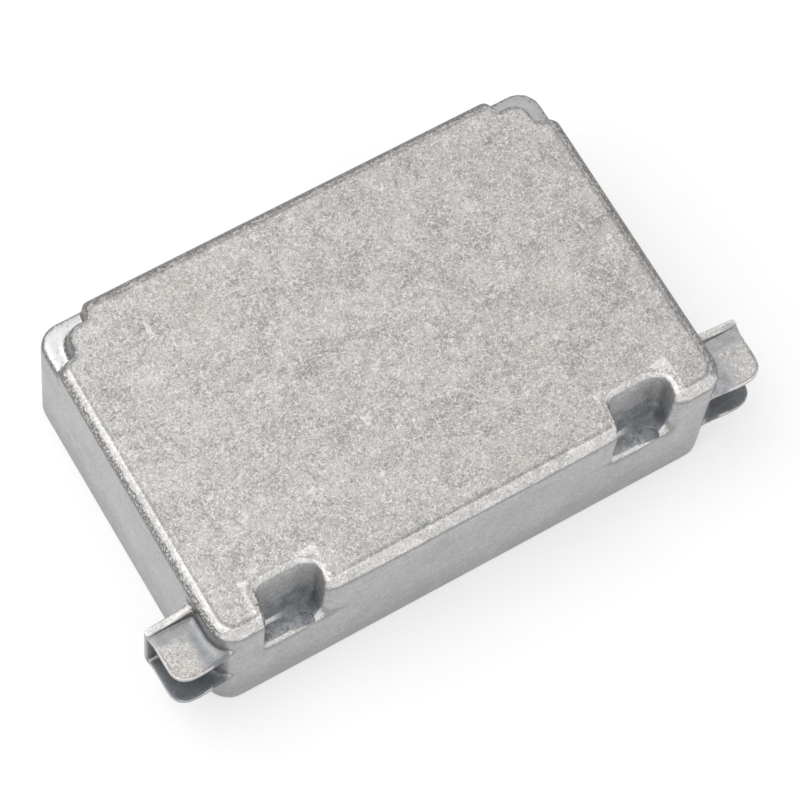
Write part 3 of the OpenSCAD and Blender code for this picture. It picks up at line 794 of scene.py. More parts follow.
@dataclass
class HousingHollow:
    """The inside of the casting: walls, screw pillars, board posts, cover rebate and holes, in millimetres."""

    length: float = 134.0
    width: float = 87.0
    roof: float = 41.0
    corner: float = 3.8
    rebate_length: float = 137.0
    rebate_width: float = 90.0
    rebate_corner: float = 5.3
    shoulder: float = 2.3
    cover: float = 1.5
    wall: float = 2.5
    ledge_wall: float = 3.0
    pillar_radius: float = 4.6
    post_radius: float = 3.5
    board_top: float = 8.1
    screw_hole: float = 1.6
    screw_depth: float = 12.0
    bush_hole: float = 6.0
    bush_hole_depth: float = 6.0
    bush_seat: float = 7.55
    bush_seat_depth: float = 1.5
    lead_x: float = 34.0
    lead_z: float = 19.0
    mark_radius: float = 2.8
    mark_depth: float = 0.4
    mark_shift: float = 1.5
    # Places of the pillars that take the cover's screws, and of the posts that carry the board.
    pillars: tuple = ((-59.0, 36.4), (-63.0, -39.4), (59.0, 36.4), (63.0, -39.4), (0.0, 40.3), (0.0, -40.3))
    posts: tuple = ((-46.0, 40.4), (-32.0, -40.4), (46.0, 40.4), (32.0, -40.4))

    def walls(self, shell: HousingShell) -> Mesh:
        """Makes what stands inside the hollow: the backs of the pockets and ledges, pillars and posts.

        Args:
            shell: Outside of the casting.

        Returns:
            The mesh, in millimetres.
        """
        mesh = bmesh.new()
        top = self.roof + OVER
        for side in (-1, 1):
            near, far = sorted((side * (shell.pocket_inner - self.wall), side * (shell.pocket_outer + self.wall)))
            add_slab(mesh, (near, -shell.half_width, shell.pocket_floor - self.wall),
                     (far, shell.pocket_back + self.wall, top))
            near, far = sorted((side * (shell.pocket_outer - self.wall), side * shell.half_length))
            add_slab(mesh, (near, shell.ledge_back - self.wall, shell.ledge_height - self.ledge_wall),
                     (far, shell.half_width, top))
        for places, low, radius in ((self.pillars, self.cover, self.pillar_radius),
                                    (self.posts, self.board_top, self.post_radius)):
            for x, y in places:
                add_rod(mesh, x, y, low, top, radius)
        return mesh

    def room(self) -> Mesh:
        """Makes the plain hollow and the rebate for the cover.

        Returns:
            The mesh, in millimetres.
        """
        mesh = bmesh.new()
        for length, width, corner, low, high in (
                (self.length, self.width, self.corner, OVER / 2, self.roof),
                (self.rebate_length, self.rebate_width, self.rebate_corner, -OVER, self.shoulder)):
            add_slab(mesh, (-length / 2, -width / 2, low), (length / 2, width / 2, high), corner)
        return mesh

    def holes(self, shell: HousingShell) -> Mesh:
        """Makes the screw holes, the stepped bush holes and the round marks on the pocket floors.

        Args:
            shell: Outside of the casting.

        Returns:
            The mesh, in millimetres.
        """
        mesh = bmesh.new()
        for places, low in ((self.pillars, 0.0), (self.posts, self.board_top)):
            for x, y in places:
                add_rod(mesh, x, y, -OVER, low + self.screw_depth, self.screw_hole)
        for side in (-1, 1):
            for depth, radius in ((self.bush_hole_depth, self.bush_hole), (self.bush_seat_depth, self.bush_seat)):
                verts = add_rod(mesh, 0, 0, -OVER, depth, radius)
                bmesh.ops.rotate(mesh, matrix=Matrix.Rotation(math.radians(90), 3, "X"), verts=verts)
                bmesh.ops.translate(mesh, vec=(side * self.lead_x, shell.half_width, self.lead_z), verts=verts)
            middle = side * (shell.pocket_inner + shell.pocket_outer) / 2
            add_rod(mesh, middle + self.mark_shift, self.mark_radius / 2 - shell.half_width,
                    shell.pocket_floor - self.mark_depth, shell.pocket_floor + 3 * OVER, self.mark_radius)
        return mesh


class CastingMasks(Shader):
    """The casting's material while it is being drawn, with a mask for each region of the casting."""

    # Mixtures of noise, each by grain width in millimetres, finer layers and weight. The tumbled skin's speckle
    # is drawn 0.34 mm wide, coarser than the real one, so that it shows.
    mixtures: ClassVar[dict[str, tuple]] = {
        "mottle": ((0.34, 0.0, 0.3), (0.8, 1.0, 0.24), (2.6, 1.0, 0.24), (9.0, 2.0, 0.22)),
        "tone": ((12.0, 1.0, 0.16), (3.0, 2.0, 0.16), (1.1, 2.0, 0.24), (0.5, 2.0, 0.44)),
        "stain": ((2.6, 3.0, 0.5), (0.5, 2.0, 0.5)),
    }
    # The edges of the regions are ragged by about 0.25 mm, in steps of 0.6 mm.
    ragged_scale: float = 1.6
    ragged_width: float = 0.5
    # Distance of a pocket's middle from the middle of the casting.
    pocket_middle: float = 47.9
    # Each region by its soft limits: what is looked at, where the region hasn't begun yet and where it has.
    # Looked at are the place (across and along are distances from the middle of the casting and of a pocket),
    # the surface's normal (right, back and up, slant to the front left, and ragged, which is up with a ragged
    # edge), a mixture, or a noise by grain width and finer layers.
    regions: ClassVar[dict[str, tuple]] = {
        "top side": (("up", 0.12, 0.3),),
        "pale skin": (("mottle", 0.32, 0.64),),
        "warm skin": (((8.0, 2.0), 0.42, 0.7),),
        "pit": (((0.45, 0.0), 0.3, 0.2),),
        "pit crowd": (((8.0, 1.0), 0.42, 0.68),),
        "pale wall": (("tone", 0.33, 0.67),),
        "shaded wall foot": (("z", 20.0, 0.0),),
        "stained": (("stain", 0.38, 0.62),),
        # Runs from the left end to the right one, and sets the painted light that differs between the lugs and the
        # ledges.
        "right end": (("x", -60.0, 60.0),),
        "pocket": (("across", 37.8, 38.2), ("across", 59.4, 59.0), ("y", -34.9, -35.5), ("y", -45.9, -45.3),
                   ("z", 24.7, 25.3), ("z", 43.6, 43.2)),
        "pocket mouth": (("y", -43.4, -42.4), ("back", -0.5, -0.25)),
        "pocket depth": (("z", 43.0, 27.0),),
        "pocket floor": (("up", 0.15, 0.6), ("z", 36.0, 31.0)),
        "floor shade": (("y", -46.5, -37.5),),
        "floor highlight spots": (((1.1, 3.0), 0.4, 0.68), ("along", 5.0, -2.0), ("y", -39.0, -43.0)),
        "cove glint": (("z", 27.6, 26.9), ("y", -41.1, -40.6), ("y", -39.6, -40.0), ("along", -0.5, -5.0)),
        "pocket ridge": (("across", 37.6, 38.3), ("across", 58.9, 58.1), ("y", -33.4, -34.2), ("z", 41.0, 43.0)),
        "ledge": (("across", 55.8, 56.4), ("y", 32.4, 33.0), ("z", 43.6, 42.6)),
        "ledge floor": (("up", 0.6, 0.9),),
        "ledge border": (("across", 54.6, 55.4), ("y", 31.2, 32.0)),
        "channel": (("across", 67.0, 67.6), ("y", -31.8, -32.6), ("z", 16.6, 17.2), ("z", 33.0, 32.4)),
        "lug root": (("across", 66.0, 66.6), ("z", 36.5, 35.0), ("z", 13.0, 15.0), ("y", -31.6, -32.4)),
        "root reach": (("across", 75.0, 71.6), ("y", -37.4, -34.9)),
        "lug lip highlight": (("across", 70.5, 71.5), ("up", 0.95, 0.8), ("up", 0.1, 0.3), ("z", 34.6, 34.2)),
        "gusset": (("across", 70.5, 71.5), ("z", 34.2, 34.6)),
        "slope": (("up", 0.985, 0.93), ("up", 0.2, 0.45)),
        "front left": (("slant", 0.15, -0.15),),
        # Painted shade on the rounded edges turned from the lamps.
        "shaded edge": (("up", 0.03, 0.1), ("ragged", 0.97, 0.85), ("z", 37.0, 37.4), ("across", 70.4, 70.2),
                      ((0.7, 2.0), 0.2, 0.6)),
        "gritty edge": (("up", 0.03, 0.1), ("ragged", 0.74, 0.6), ("back", -0.6, -0.3), ((0.6, 2.0), 0.33, 0.55)),
        "edge line": (("up", 0.04, 0.12), ("up", 0.3, 0.2)),
        "top line": (("up", 0.999, 0.993), ("up", 0.955, 0.975), ((0.8, 1.0), 0.35, 0.55)),
    }

    def __init__(self, owner: bpy.types.Material) -> None:
        """Takes up the casting's material and reads what its regions look at.

        Args:
            owner: The material.
        """
        super().__init__(owner)
        self.place = self.places()
        right, back, up = self.add("SeparateXYZ", {0: self.add("NewGeometry").outputs["Normal"]}).outputs
        ragged = self.add("TexNoise", {"Vector": self.place, "Scale": self.ragged_scale, "Detail": 2.0})
        moved = self.add("VectorMath", {0: ragged.outputs["Color"], 1: (self.ragged_width,) * 3, 2: self.place},
                         operation="MULTIPLY_ADD")
        x, y, z = self.add("SeparateXYZ", {0: moved}).outputs
        side = self.add("Math", {0: x}, operation="SIGN")
        self.seen = {
            "x": x, "y": y, "z": z, "right": right, "back": back, "up": up,
            "across": self.add("Math", {0: x}, operation="ABSOLUTE"),
            "along": self.total((side, -self.pocket_middle), (x, 1.0)),
            "slant": self.total((right, -0.7), (back, -0.7)),
            "ragged": self.total((up, 1.0), (self.noise(self.place, 0.9), 0.5), (1.0, -0.25)),
        }
        for name, layers in self.mixtures.items():
            self.seen[name] = self.total(*((self.noise(self.place, size, detail), weight)
                                           for size, detail, weight in layers))

    def limits(self, region: str) -> list[tuple]:
        """Gives a region's soft limits as masks."""
        return [(self.seen[what] if isinstance(what, str) else self.noise(self.place, *what), off, on)
                for what, off, on in self.regions[region]]

    def region(self, region: str, *masks: Signal) -> Signal:
        """Marks where a region and all of some masks are."""
        return self.all_of(*self.limits(region), *masks)

    def without(self, *masks: Signal) -> Signal:
        """Marks where none of some masks is."""
        return self.total((1.0, 1.0), (self.any_of(*masks), -1.0))


@dataclass(frozen=True)
class TumbledDieCasting:
    """Bare aluminium die casting: tumbled on its outer faces, as it left the die in its recesses."""

    # Tumbling leaves a pale skin on the top and on every outer edge: fine speckle, short scuffs, soft clouds and
    # a few dark pits. Edges facing the lamps get a painted highlight on it, and edges turned away painted shade.
    # The walls keep the die's smooth grey skin with faint blotches, painted darker towards their foot as shade.
    # The recesses are smoother and a little blue, and painted darker as shade. The ledge floors are the palest,
    # with hardly a speck, partly as a painted highlight that is lighter on the left ledge than on the right one.
    name: str = "tumbled_die_cast_aluminium"
    tumbled_dark: str = "8A8988"
    tumbled_pale: str = "C4C2C0"
    warm: str = "C0B6AE"
    scuff: str = "FBFAF9"
    # Dark pits; the same colour also paints shade along the edges turned from the lamps.
    pit: str = "6E6D6C"
    # Painted highlight: added on worn edges facing the lamps, on the cove glint and on the lugs' flange edges.
    highlight_pale: str = "E9E8E6"
    wall_dark: str = "989797"
    wall_pale: str = "BFBEBE"
    # The recesses' blue tint is the die skin's own; their darkness is painted shade.
    recess_shade_dark: str = "84878B"
    recess_pale: str = "B0B3B6"
    # Painted shade in the lugs' channels and at the back of the pocket floors.
    shade_dark: str = "75787B"
    # Ledge floors, partly a painted highlight: lit on the left ledge, shaded on the right one.
    ledge_lit: str = "D2D2D2"
    ledge_shaded: str = "B2B3B4"
    # Sets of scuffs: how tightly they curl, how long they are, and a shift that draws each set elsewhere.
    scuff_sets: tuple = ((1.3, 1.0, 0.0), (2.0, 1.3, 31.0), (0.9, 0.8, 67.0), (4.2, 1.9, 113.0))
    # Soft limits of a scuff's width, which is the same for every curl, and of the noise that breaks it.
    scuff_width: tuple = (0.06, 0.01)
    scuff_break: tuple = (0.45, 0.62)
    # Height of the tumbled skin's relief in millimetres.
    relief: float = 0.03

    def scuffs(self, cast: CastingMasks, curl: float, gap: float, shift: float) -> Signal:
        """Draws short curved scuffs: pieces of the lines along which a noise crosses its middle value.

        Args:
            cast: Material that is drawn.
            curl: Grain of the noise in millimetres, which sets how tightly the scuffs curl.
            gap: Grain of the second noise, which breaks the lines into pieces.
            shift: Millimetres by which the set is moved.

        Returns:
            Mask of the scuffs.
        """
        place = cast.add("VectorMath", {0: cast.place, 1: (shift, shift, 0.0)}, operation="ADD")
        level = cast.total((cast.noise(place, curl, 0.0), 1.0), (1.0, -0.5))
        away = cast.add("Math", {0: level}, operation="ABSOLUTE")
        return cast.all_of((away, *(width / curl for width in self.scuff_width)),
                           (cast.noise(place, gap, 0.0), *self.scuff_break))

    def tumbled_skin(self, cast: CastingMasks, rim: Signal) -> tuple[Signal, Signal]:
        """Draws the tumbled skin.

        Args:
            cast: Material that is drawn.
            rim: Mask of the worn edges, which also get a painted highlight where they face the lamps.

        Returns:
            Its colour and its height.
        """
        scuffs = cast.any_of(*(self.scuffs(cast, *scuff_set) for scuff_set in self.scuff_sets))
        pits = cast.region("pit", cast.total((1.0, 0.25), (cast.region("pit crowd"), 0.75)))
        colour = cast.coat(self.tumbled_dark, (self.tumbled_pale, cast.region("pale skin")),
                           (self.warm, cast.region("warm skin"), 0.32), (self.scuff, scuffs, 0.4))
        # Painted highlight on the worn edges that face the lamps.
        colour = cast.coat(colour, (self.highlight_pale, rim, 0.24), kind="ADD")
        return (cast.coat(colour, (self.pit, pits, 0.6)),
                cast.total((cast.seen["mottle"], 1.0), (scuffs, 0.2), (pits, -0.25)))

    def die_skin(self, cast: CastingMasks, pocket: Signal, ledge: Signal, channel: Signal, root: Signal) -> Signal:
        """Draws the skin that the die left on the walls and in the recesses, with painted shade and highlights on it.

        Args:
            cast: Material that is drawn.
            pocket: Mask of the pockets.
            ledge: Mask of the ledges.
            channel: Mask of the lugs' channels.
            root: Mask of the lugs' roots.

        Returns:
            Its colour.
        """
        # The walls are painted darker towards their foot, as shade.
        tone = cast.add("Math", {0: cast.region("pale wall"), 1: cast.region("shaded wall foot", 0.5)},
                        operation="SUBTRACT", use_clamp=True)
        stain, right, floor = cast.region("stained"), cast.region("right end"), cast.region("pocket floor", pocket)
        return cast.coat(
            self.wall_dark, (self.wall_pale, tone),
            # The pockets are painted darker below their rim, as shade.
            (cast.coat(self.recess_shade_dark, (self.recess_pale, stain)), cast.region("pocket depth", pocket)),
            (self.shade_dark, cast.region("floor shade", floor), 0.7),
            # Painted highlights in pale spots on the front of the pocket floors.
            (self.wall_pale, cast.region("floor highlight spots", floor), 0.8),
            (self.highlight_pale, cast.region("cove glint", pocket)),
            # The lugs' root fillets are painted darker as shade, more on the left lug than on the right one.
            (cast.coat(self.recess_shade_dark, (self.recess_pale, right), (self.wall_dark, stain)), root),
            # The lugs' channels are painted dark as shade under the upper flanges.
            (cast.coat(self.shade_dark, (self.recess_shade_dark, stain)), channel),
            # Ledge floors, painted lighter on the left and darker on the right, as lit and shaded.
            (cast.coat(self.ledge_lit, (self.ledge_shaded, right), (self.wall_dark, stain, 0.25)),
             cast.region("ledge floor", ledge)))

    def material(self) -> bpy.types.Material:
        """Draws the material.

        Returns:
            The material.
        """
        cast = CastingMasks(bpy.data.materials.new(self.name))
        pocket = cast.region("pocket", cast.any_of(*cast.limits("pocket mouth")))
        ledge, channel = cast.region("ledge"), cast.region("channel")
        root = cast.region("lug root", cast.any_of(*cast.limits("root reach")))
        outer = cast.without(pocket, ledge, channel, root)
        tumbled = cast.region("top side", outer)
        # Faces turned to the back and right, away from the light, and the ledges' borders count as shaded.
        shaded = cast.any_of(cast.region("front left"), cast.region("ledge border"))
        # Slopes that are not shaded, the pocket ridges and the gussets get the painted highlight.
        rim = cast.any_of(cast.region("slope", cast.without(shaded)), cast.region("pocket ridge"),
                          cast.region("gusset"))
        # Grit on the outer edges, together with painted shade along the edges turned from the lamps.
        grit_and_shade = cast.any_of(cast.region("gritty edge", outer), cast.region("edge line", outer, 0.5),
                           cast.region("shaded edge", shaded, cast.without(pocket, channel)))
        skin, height = self.tumbled_skin(cast, rim)
        colour = cast.coat(self.die_skin(cast, pocket, ledge, channel, root), (skin, tumbled), (self.pit, grit_and_shade, 0.85),
                           (self.pit, cast.region("top line", outer), 0.5),
                           # Painted highlight along the top edges of the lugs' flanges.
                           (self.highlight_pale, cast.region("lug lip highlight"), 0.6))
        # The die's skin is satin, the tumbled skin is duller, and the recesses are the dullest.
        roughness = cast.total((tumbled, 0.16), (height, 0.1), (pocket, 0.25), (channel, 0.25), (1.0, 0.32))
        return cast.surface(cast.all_of(tumbled, height), self.relief, Base_Color=colour, Roughness=roughness,
                            Metallic=1.0)


class Making(Enum):
    """How a surface was made, with the layers and weights of the pattern that this leaves."""

    ROLLED = (("lines", 0.75), ("cloud", 0.25))
    PLATED = (("crystals", 0.4), ("cloud", 0.6))
    MOULDED = (("grain", 0.65), ("cloud", 0.35))
    POURED = (("grain", 0.8), ("cloud", 0.2), ("pinholes", -0.3))
    DIPPED = (("grain", 0.5), ("cloud", 0.5))
    GROUND = (("scratches", 0.8), ("cloud", 0.2), ("pores", -0.3))
    WOUND = (("turns", 0.7), ("grain", 0.15), ("cloud", 0.15))
    TAPED = (("grain", 0.4), ("cloud", 0.6), ("laps", -0.3))
    MASKED = (("copper", 0.45), ("turns", 0.15), ("grain", 0.2), ("cloud", 0.2))
    SHRUNK = (("creases", 0.7), ("cloud", 0.3))
    FILLED = (("filler", 0.6), ("cloud", 0.4))


@dataclass(frozen=True)
class Finish:
    """The finish of a piece: what it is, how it was made, and its pattern's size in millimetres."""

    name: str
    making: Making
    dark: str
    pale: str
    size: float
    roughness: float
    metallic: float = 0.0
    relief: float = 0.02
    coat: float = 0.0
    axis: int = 0
    # How many times longer than wide a layer's grains are along X, Y and Z.
    stretches: ClassVar[dict[str, tuple]] = {"lines": (60.0, 1.0, 1.0), "scratches": (8.0, 1.0, 1.0),
                                             "creases": (1.0, 1.0, 14.0)}
    # Width of a layer's cells in sizes of the pattern.
    cells: ClassVar[dict[str, float]] = {"crystals": 1.0, "filler": 1.0, "pinholes": 1 / 3, "copper": 9.0}
    # Soft limits that turn a layer's value into a mask.
    limits: ClassVar[dict[str, tuple]] = {"pinholes": (0.12, 0.05), "copper": (0.3, 0.34), "laps": (0.06, 0.0),
                                          "pores": (0.32, 0.25)}
    # A cloud is this many sizes of the pattern wide, and at least so many millimetres.
    cloud_sizes: ClassVar[float] = 8.0
    least_cloud: ClassVar[float] = 6.0
    # Between these values of the pattern the dark colour turns pale. The pattern's top is this much smoother.
    turnover: ClassVar[tuple] = (0.25, 0.75)
    gloss: ClassVar[float] = 0.12

    def layer(self, shader: Shader, place: Signal, name: str) -> Signal:
        """Draws one layer of the pattern.

        Args:
            shader: Material that is drawn.
            place: Place in millimetres.
            name: Name of the layer.

        Returns:
            The layer, from 0 to 1.
        """
        if name in ("turns", "laps"):
            along = shader.add("SeparateXYZ", {0: place}).outputs[self.axis]
            turn = shader.add("Math", {0: along, 1: math.tau / self.size}, operation="MULTIPLY")
            value = shader.total((shader.add("Math", {0: turn}, operation="SINE"), 0.5), (1.0, 0.5))
        elif name in self.cells:
            value = shader.add("TexVoronoi", {"Vector": place, "Scale": 1 / (self.size * self.cells[name])})
            if name == "crystals":
                value = shader.add("SeparateColor", {0: value.outputs["Color"]})
        elif name == "cloud":
            value = shader.noise(place, max(self.least_cloud, self.size * self.cloud_sizes))
        else:
            value = shader.noise(place, self.size, 3.0 if name == "lines" else 2.0,
                                 self.stretches.get(name, (1.0, 1.0, 1.0)))
        return shader.all_of((value, *self.limits[name])) if name in self.limits else value

    @cache
    def material(self) -> bpy.types.Material:
        """Draws the material, once.

        Returns:
            The material.
        """
        shader = Shader(bpy.data.materials.new(self.name))
        place = shader.places()
        pattern = shader.total(*((self.layer(shader, place, name), weight) for name, weight in self.making.value))
        return shader.surface(pattern, self.relief,
                              Base_Color=shader.coat(self.dark, (self.pale, (pattern, *self.turnover))),
                              Roughness=shader.total((pattern, -self.gloss), (1.0, self.roughness + self.gloss / 2)),
                              Metallic=self.metallic, Coat_Weight=self.coat)


# Rolling leaves lines a few hundredths of a millimetre wide along the sheet. They are drawn 0.4 mm wide to show.
ROLLED_ALUMINIUM = Finish("rolled_aluminium_sheet", Making.ROLLED, "AEB0B2", "CDCFD1", 0.4, 0.36, 1.0)
# Bright zinc plating shows faint flat crystals under a passivated, slightly blue sheen.
ZINC_STEEL = Finish("zinc_plated_steel", Making.PLATED, "979BA0", "C6C9CD", 0.6, 0.3, 1.0)
# Tin plate is whiter and softer than zinc, with larger crystals.
TINNED_BRASS = Finish("tin_plated_brass", Making.PLATED, "B0AFAA", "D3D2CC", 0.9, 0.28, 1.0)
# A moulded case or package has the mould's even eroded grain, about 0.03 mm, drawn coarser so that it shows.
BLACK_EPOXY = Finish("moulded_black_epoxy", Making.MOULDED, "0B0B0C", "19191C", 0.25, 0.5)
# Ferrite is pressed, fired and ground: nearly black, dull, with grinding lines and open pores.
FERRITE = Finish("ground_ferrite", Making.GROUND, "121213", "262628", 0.3, 0.45)
# Enamelled wire shines through a clear coat. The turns lie 0.9 mm apart.
COPPER_WIRE = Finish("enamelled_copper_wire", Making.WOUND, "6E2E12", "BC6630", 0.9, 0.3, 1.0, relief=0.25, coat=0.6)
# Polyester tape is glossy and slightly clear, and each lap shows its edge.
YELLOW_TAPE = Finish("wound_polyester_tape", Making.TAPED, "C09214", "E2BA3C", 4.0, 0.28, axis=2)
# The lacquer on a board shows the glass cloth, 0.5 mm apart, and paler areas where copper lies under it.
GREEN_BOARD = Finish("lacquered_glass_epoxy", Making.MASKED, "0A3A20", "20603C", 0.5, 0.32)
# A gap pad is soft, dull silicone, with its filler showing as grains.
GAP_PAD = Finish("silicone_gap_pad", Making.FILLED, "94707A", "B48E96", 0.4, 0.7)
# A sleeve shrunk on a can is glossy film with faint lines where it was drawn tight.
DARK_SLEEVE = Finish("shrunk_polyester_sleeve", Making.SHRUNK, "0D121C", "1D2637", 0.8, 0.25)


class SubAssembly:
    """Pieces that belong together. The table gives the finish of each one that keeps its CAD shape."""

    finishes: ClassVar[dict[str, Finish]] = {}

    def dress(self, nodes: dict[str, Piece]) -> None:
        """Puts the finishes on the CAD nodes.

        Args:
            nodes: The frame's objects by name.
        """
        for name, finish in self.finishes.items():
            piece = nodes[name]
            if not piece.material_slots:
                piece.data.materials.append(finish.material())
            for place in piece.material_slots:
                place.material = finish.material()
            LOG.info("%s: %s", name, finish.name)


@dataclass
class Housing(SubAssembly):
    """The charger's die-cast housing as one piece."""

    shell: HousingShell
    hollow: HousingHollow
    sharp_angle: float = 38.0

    def build(self) -> Piece:
        """Models the casting's outside and hollows it.

        Returns:
            The piece, with no material.
        """
        room = cut(add_object("room", self.hollow.room()), add_object("walls", self.hollow.walls(self.shell)))
        room = cut(room, add_object("holes", self.hollow.holes(self.shell)), "UNION")
        return finished(cut(self.shell.outside(), room, overlapping=False), "cast_housing", self.sharp_angle)

    def dress(self, nodes: dict[str, Piece]) -> None:
        """Builds the housing and puts its finish on."""
        register(self.build(), TumbledDieCasting().material(), "housing")


@dataclass
class Closure(SubAssembly):
    """The base cover with its seal and screws, in millimetres."""

    hollow: HousingHollow
    length: float = 136.6
    width: float = 89.6
    corner: float = 5.1
    edge: float = 0.2
    sink_radius: float = 3.0
    sink_land: float = 0.1
    plate_sharp_angle: float = 25.0
    head_radius: float = 2.8
    head_depth: float = 1.3
    sunk: float = 0.15
    shank_radius: float = 1.5
    screw_length: float = 10.0
    threads: int = 16
    pitch: float = 0.5
    thread_depth: float = 0.3
    key_radius: float = 1.25
    key_depth: float = 1.0
    screw_steps: int = 32
    screw_sharp_angle: float = 30.0
    # Each screw was stopped this much further round than the one before, in radians.
    turn: float = 0.7
    # The seal is a bead of silicone pressed flat when the cover went on, so it is matt with slow waves.
    finishes = {"cover_seal": Finish("cured_silicone_bead", Making.POURED, "1C1C1E", "2E2E31", 3.0, 0.55)}

    def plate(self) -> Piece:
        """Makes the cover: a sheet with softened edges and a countersunk hole for each screw.

        Returns:
            The piece, with no material.
        """
        mesh, tool = bmesh.new(), bmesh.new()
        thick, hole = self.hollow.cover, self.hollow.screw_hole
        half_length, half_width = self.length / 2, self.width / 2
        add_slab(mesh, (-half_length, -half_width, 0.0), (half_length, half_width, thick), self.corner)
        bevelled(mesh, [edge for edge in mesh.edges if abs(edge.verts[0].co.z - edge.verts[1].co.z) < TOUCH],
                 self.edge, segments=2)
        for x, y in self.hollow.pillars:
            add_rod(tool, x, y, -TOUCH, thick - self.sink_land, self.sink_radius, hole)
            add_rod(tool, x, y, -OVER, thick + OVER, hole)
        return finished(cut(add_object("plate", mesh), add_object("sinks", tool)), "sheet_cover",
                        self.plate_sharp_angle)

    def screw(self) -> Piece:
        """Makes one countersunk screw at the origin, head down, with a thread and a hexagon recess.

        Returns:
            The screw, in millimetres.
        """
        core = self.shank_radius - self.thread_depth
        outline = [(0.0, self.sunk), (self.head_radius - self.edge, self.sunk),
                   (self.head_radius, self.sunk + self.edge / 2), (self.shank_radius, self.head_depth)]
        for turn in range(self.threads):
            height = self.head_depth + (turn + 1) * self.pitch
            outline += [(core, height - self.pitch / 2), (self.shank_radius, height)]
        outline += [(core, self.screw_length), (0.0, self.screw_length)]
        key = bmesh.new()
        add_rod(key, 0, 0, -OVER, self.key_depth, self.key_radius, sides=6)
        return cut(add_object("screw", turned(outline, self.screw_steps)), add_object("key", key), overlapping=False)

    def screws(self) -> Piece:
        """Sets a screw in each hole of the cover, each turned its own way.

        Returns:
            The screws as one piece, with no material.
        """
        piece = self.screw()
        mesh = bmesh.new()
        mesh.from_mesh(piece.data)
        first = mesh.verts[:] + mesh.edges[:] + mesh.faces[:]
        for number, (x, y) in enumerate(self.hollow.pillars):
            copy = bmesh.ops.duplicate(mesh, geom=first)["geom"]
            verts = [part for part in copy if isinstance(part, bmesh.types.BMVert)]
            bmesh.ops.rotate(mesh, matrix=Matrix.Rotation(number * self.turn, 3, "Z"), verts=verts)
            bmesh.ops.translate(mesh, vec=(x, y, 0), verts=verts)
        bmesh.ops.delete(mesh, geom=first, context="VERTS")
        mesh.to_mesh(piece.data)
        mesh.free()
        return finished(piece, "cover_screw_set", self.screw_sharp_angle)

    def dress(self, nodes: dict[str, Piece]) -> None:
        """Builds the cover and the screws, and puts the finishes on.

        Args:
            nodes: The frame's objects by name.
        """
        register(self.plate(), ROLLED_ALUMINIUM.material(), "base_cover")
        register(self.screws(), ZINC_STEEL.material(), "cover_screws")
        super().dress(nodes)


@dataclass
class LeadEntries(SubAssembly):
    """The rubber bushes in the back wall and the terminals behind them, in millimetres."""

    shell: HousingShell
    hollow: HousingHollow
    mains_bore: float = 3.6
    battery_bore: float = 3.1
    collar: float = 7.5
    collar_depth: float = 1.5
    neck: float = 5.95
    wall: float = 3.0
    flange: float = 7.0
    flange_depth: float = 5.0
    tail: float = 5.0
    depth: float = 9.0
    groove_inner: float = 5.5
    groove_outer: float = 6.2
    groove_depth: float = 0.45
    edge: float = 0.15
    edge_angle: float = 30.0
    steps: int = 64
    sharp_angle: float = 38.0
    # Moulded rubber is dull and nearly black, with a fine even grain.
    rubber: Finish = Finish("moulded_rubber", Making.MOULDED, "111112", "232324", 0.35, 0.6, relief=0.03)
    finishes = {"ac_terminals": TINNED_BRASS, "dc_terminals": TINNED_BRASS}

    def bush(self, name: str, side: int, bore: float) -> Piece:
        """Makes a bush: collar with a sealing groove, neck through the wall, inner flange and tapered tail.

        Args:
            name: Name of the piece.
            side: 1 for the right one seen from the front, -1 for the left.
            bore: Radius of the lead's way.

        Returns:
            The piece, with no material.
        """
        mesh = turned([(bore, 0.0), (self.groove_inner, 0.0), (self.groove_inner, self.groove_depth),
                       (self.groove_outer, self.groove_depth), (self.groove_outer, 0.0), (self.collar, 0.0),
                       (self.collar, self.collar_depth), (self.neck, self.collar_depth), (self.neck, self.wall),
                       (self.flange, self.wall), (self.flange, self.flange_depth), (self.neck, self.flange_depth),
                       (self.tail, self.depth), (bore, self.depth)], self.steps, closed=True)
        bevelled(mesh, [edge for edge in mesh.edges if edge.calc_face_angle(0.0) > math.radians(self.edge_angle)],
                 self.edge, segments=3)
        bmesh.ops.rotate(mesh, matrix=Matrix.Rotation(math.radians(90), 3, "X"), verts=mesh.verts)
        bmesh.ops.translate(mesh, vec=(side * self.hollow.lead_x, self.shell.half_width, self.hollow.lead_z),
                            verts=mesh.verts)
        return finished(add_object(name, mesh), name, self.sharp_angle)

    def dress(self, nodes: dict[str, Piece]) -> None:
        """Builds the bushes and puts the finishes on.

        Args:
            nodes: The frame's objects by name.
        """
        for name, node, side, bore in (("ac_rubber_bush", "ac_lead_bush", -1, self.mains_bore),
                                       ("dc_rubber_bush", "dc_lead_bush", 1, self.battery_bore)):
            register(self.bush(name, side, bore), self.rubber.material(), node)
        super().dress(nodes)


class BoardSet(SubAssembly):
    """The board with its screws, the sheet under it and the compound that fills the case."""

    finishes = {
        # Polyester film is smooth and milky, with faint lines from drawing.
        "insulation_sheet": Finish("polyester_film", Making.SHRUNK, "CFCAB8", "E2DECE", 1.5, 0.22),
        "main_board": GREEN_BOARD, "board_screws": ZINC_STEEL,
        # Casting compound levels itself: satin, dark grey, with slow waves and a few burst bubbles.
        "potting_compound": Finish("potting_compound", Making.POURED, "1B1D1F", "2C2F32", 6.0, 0.35),
    }


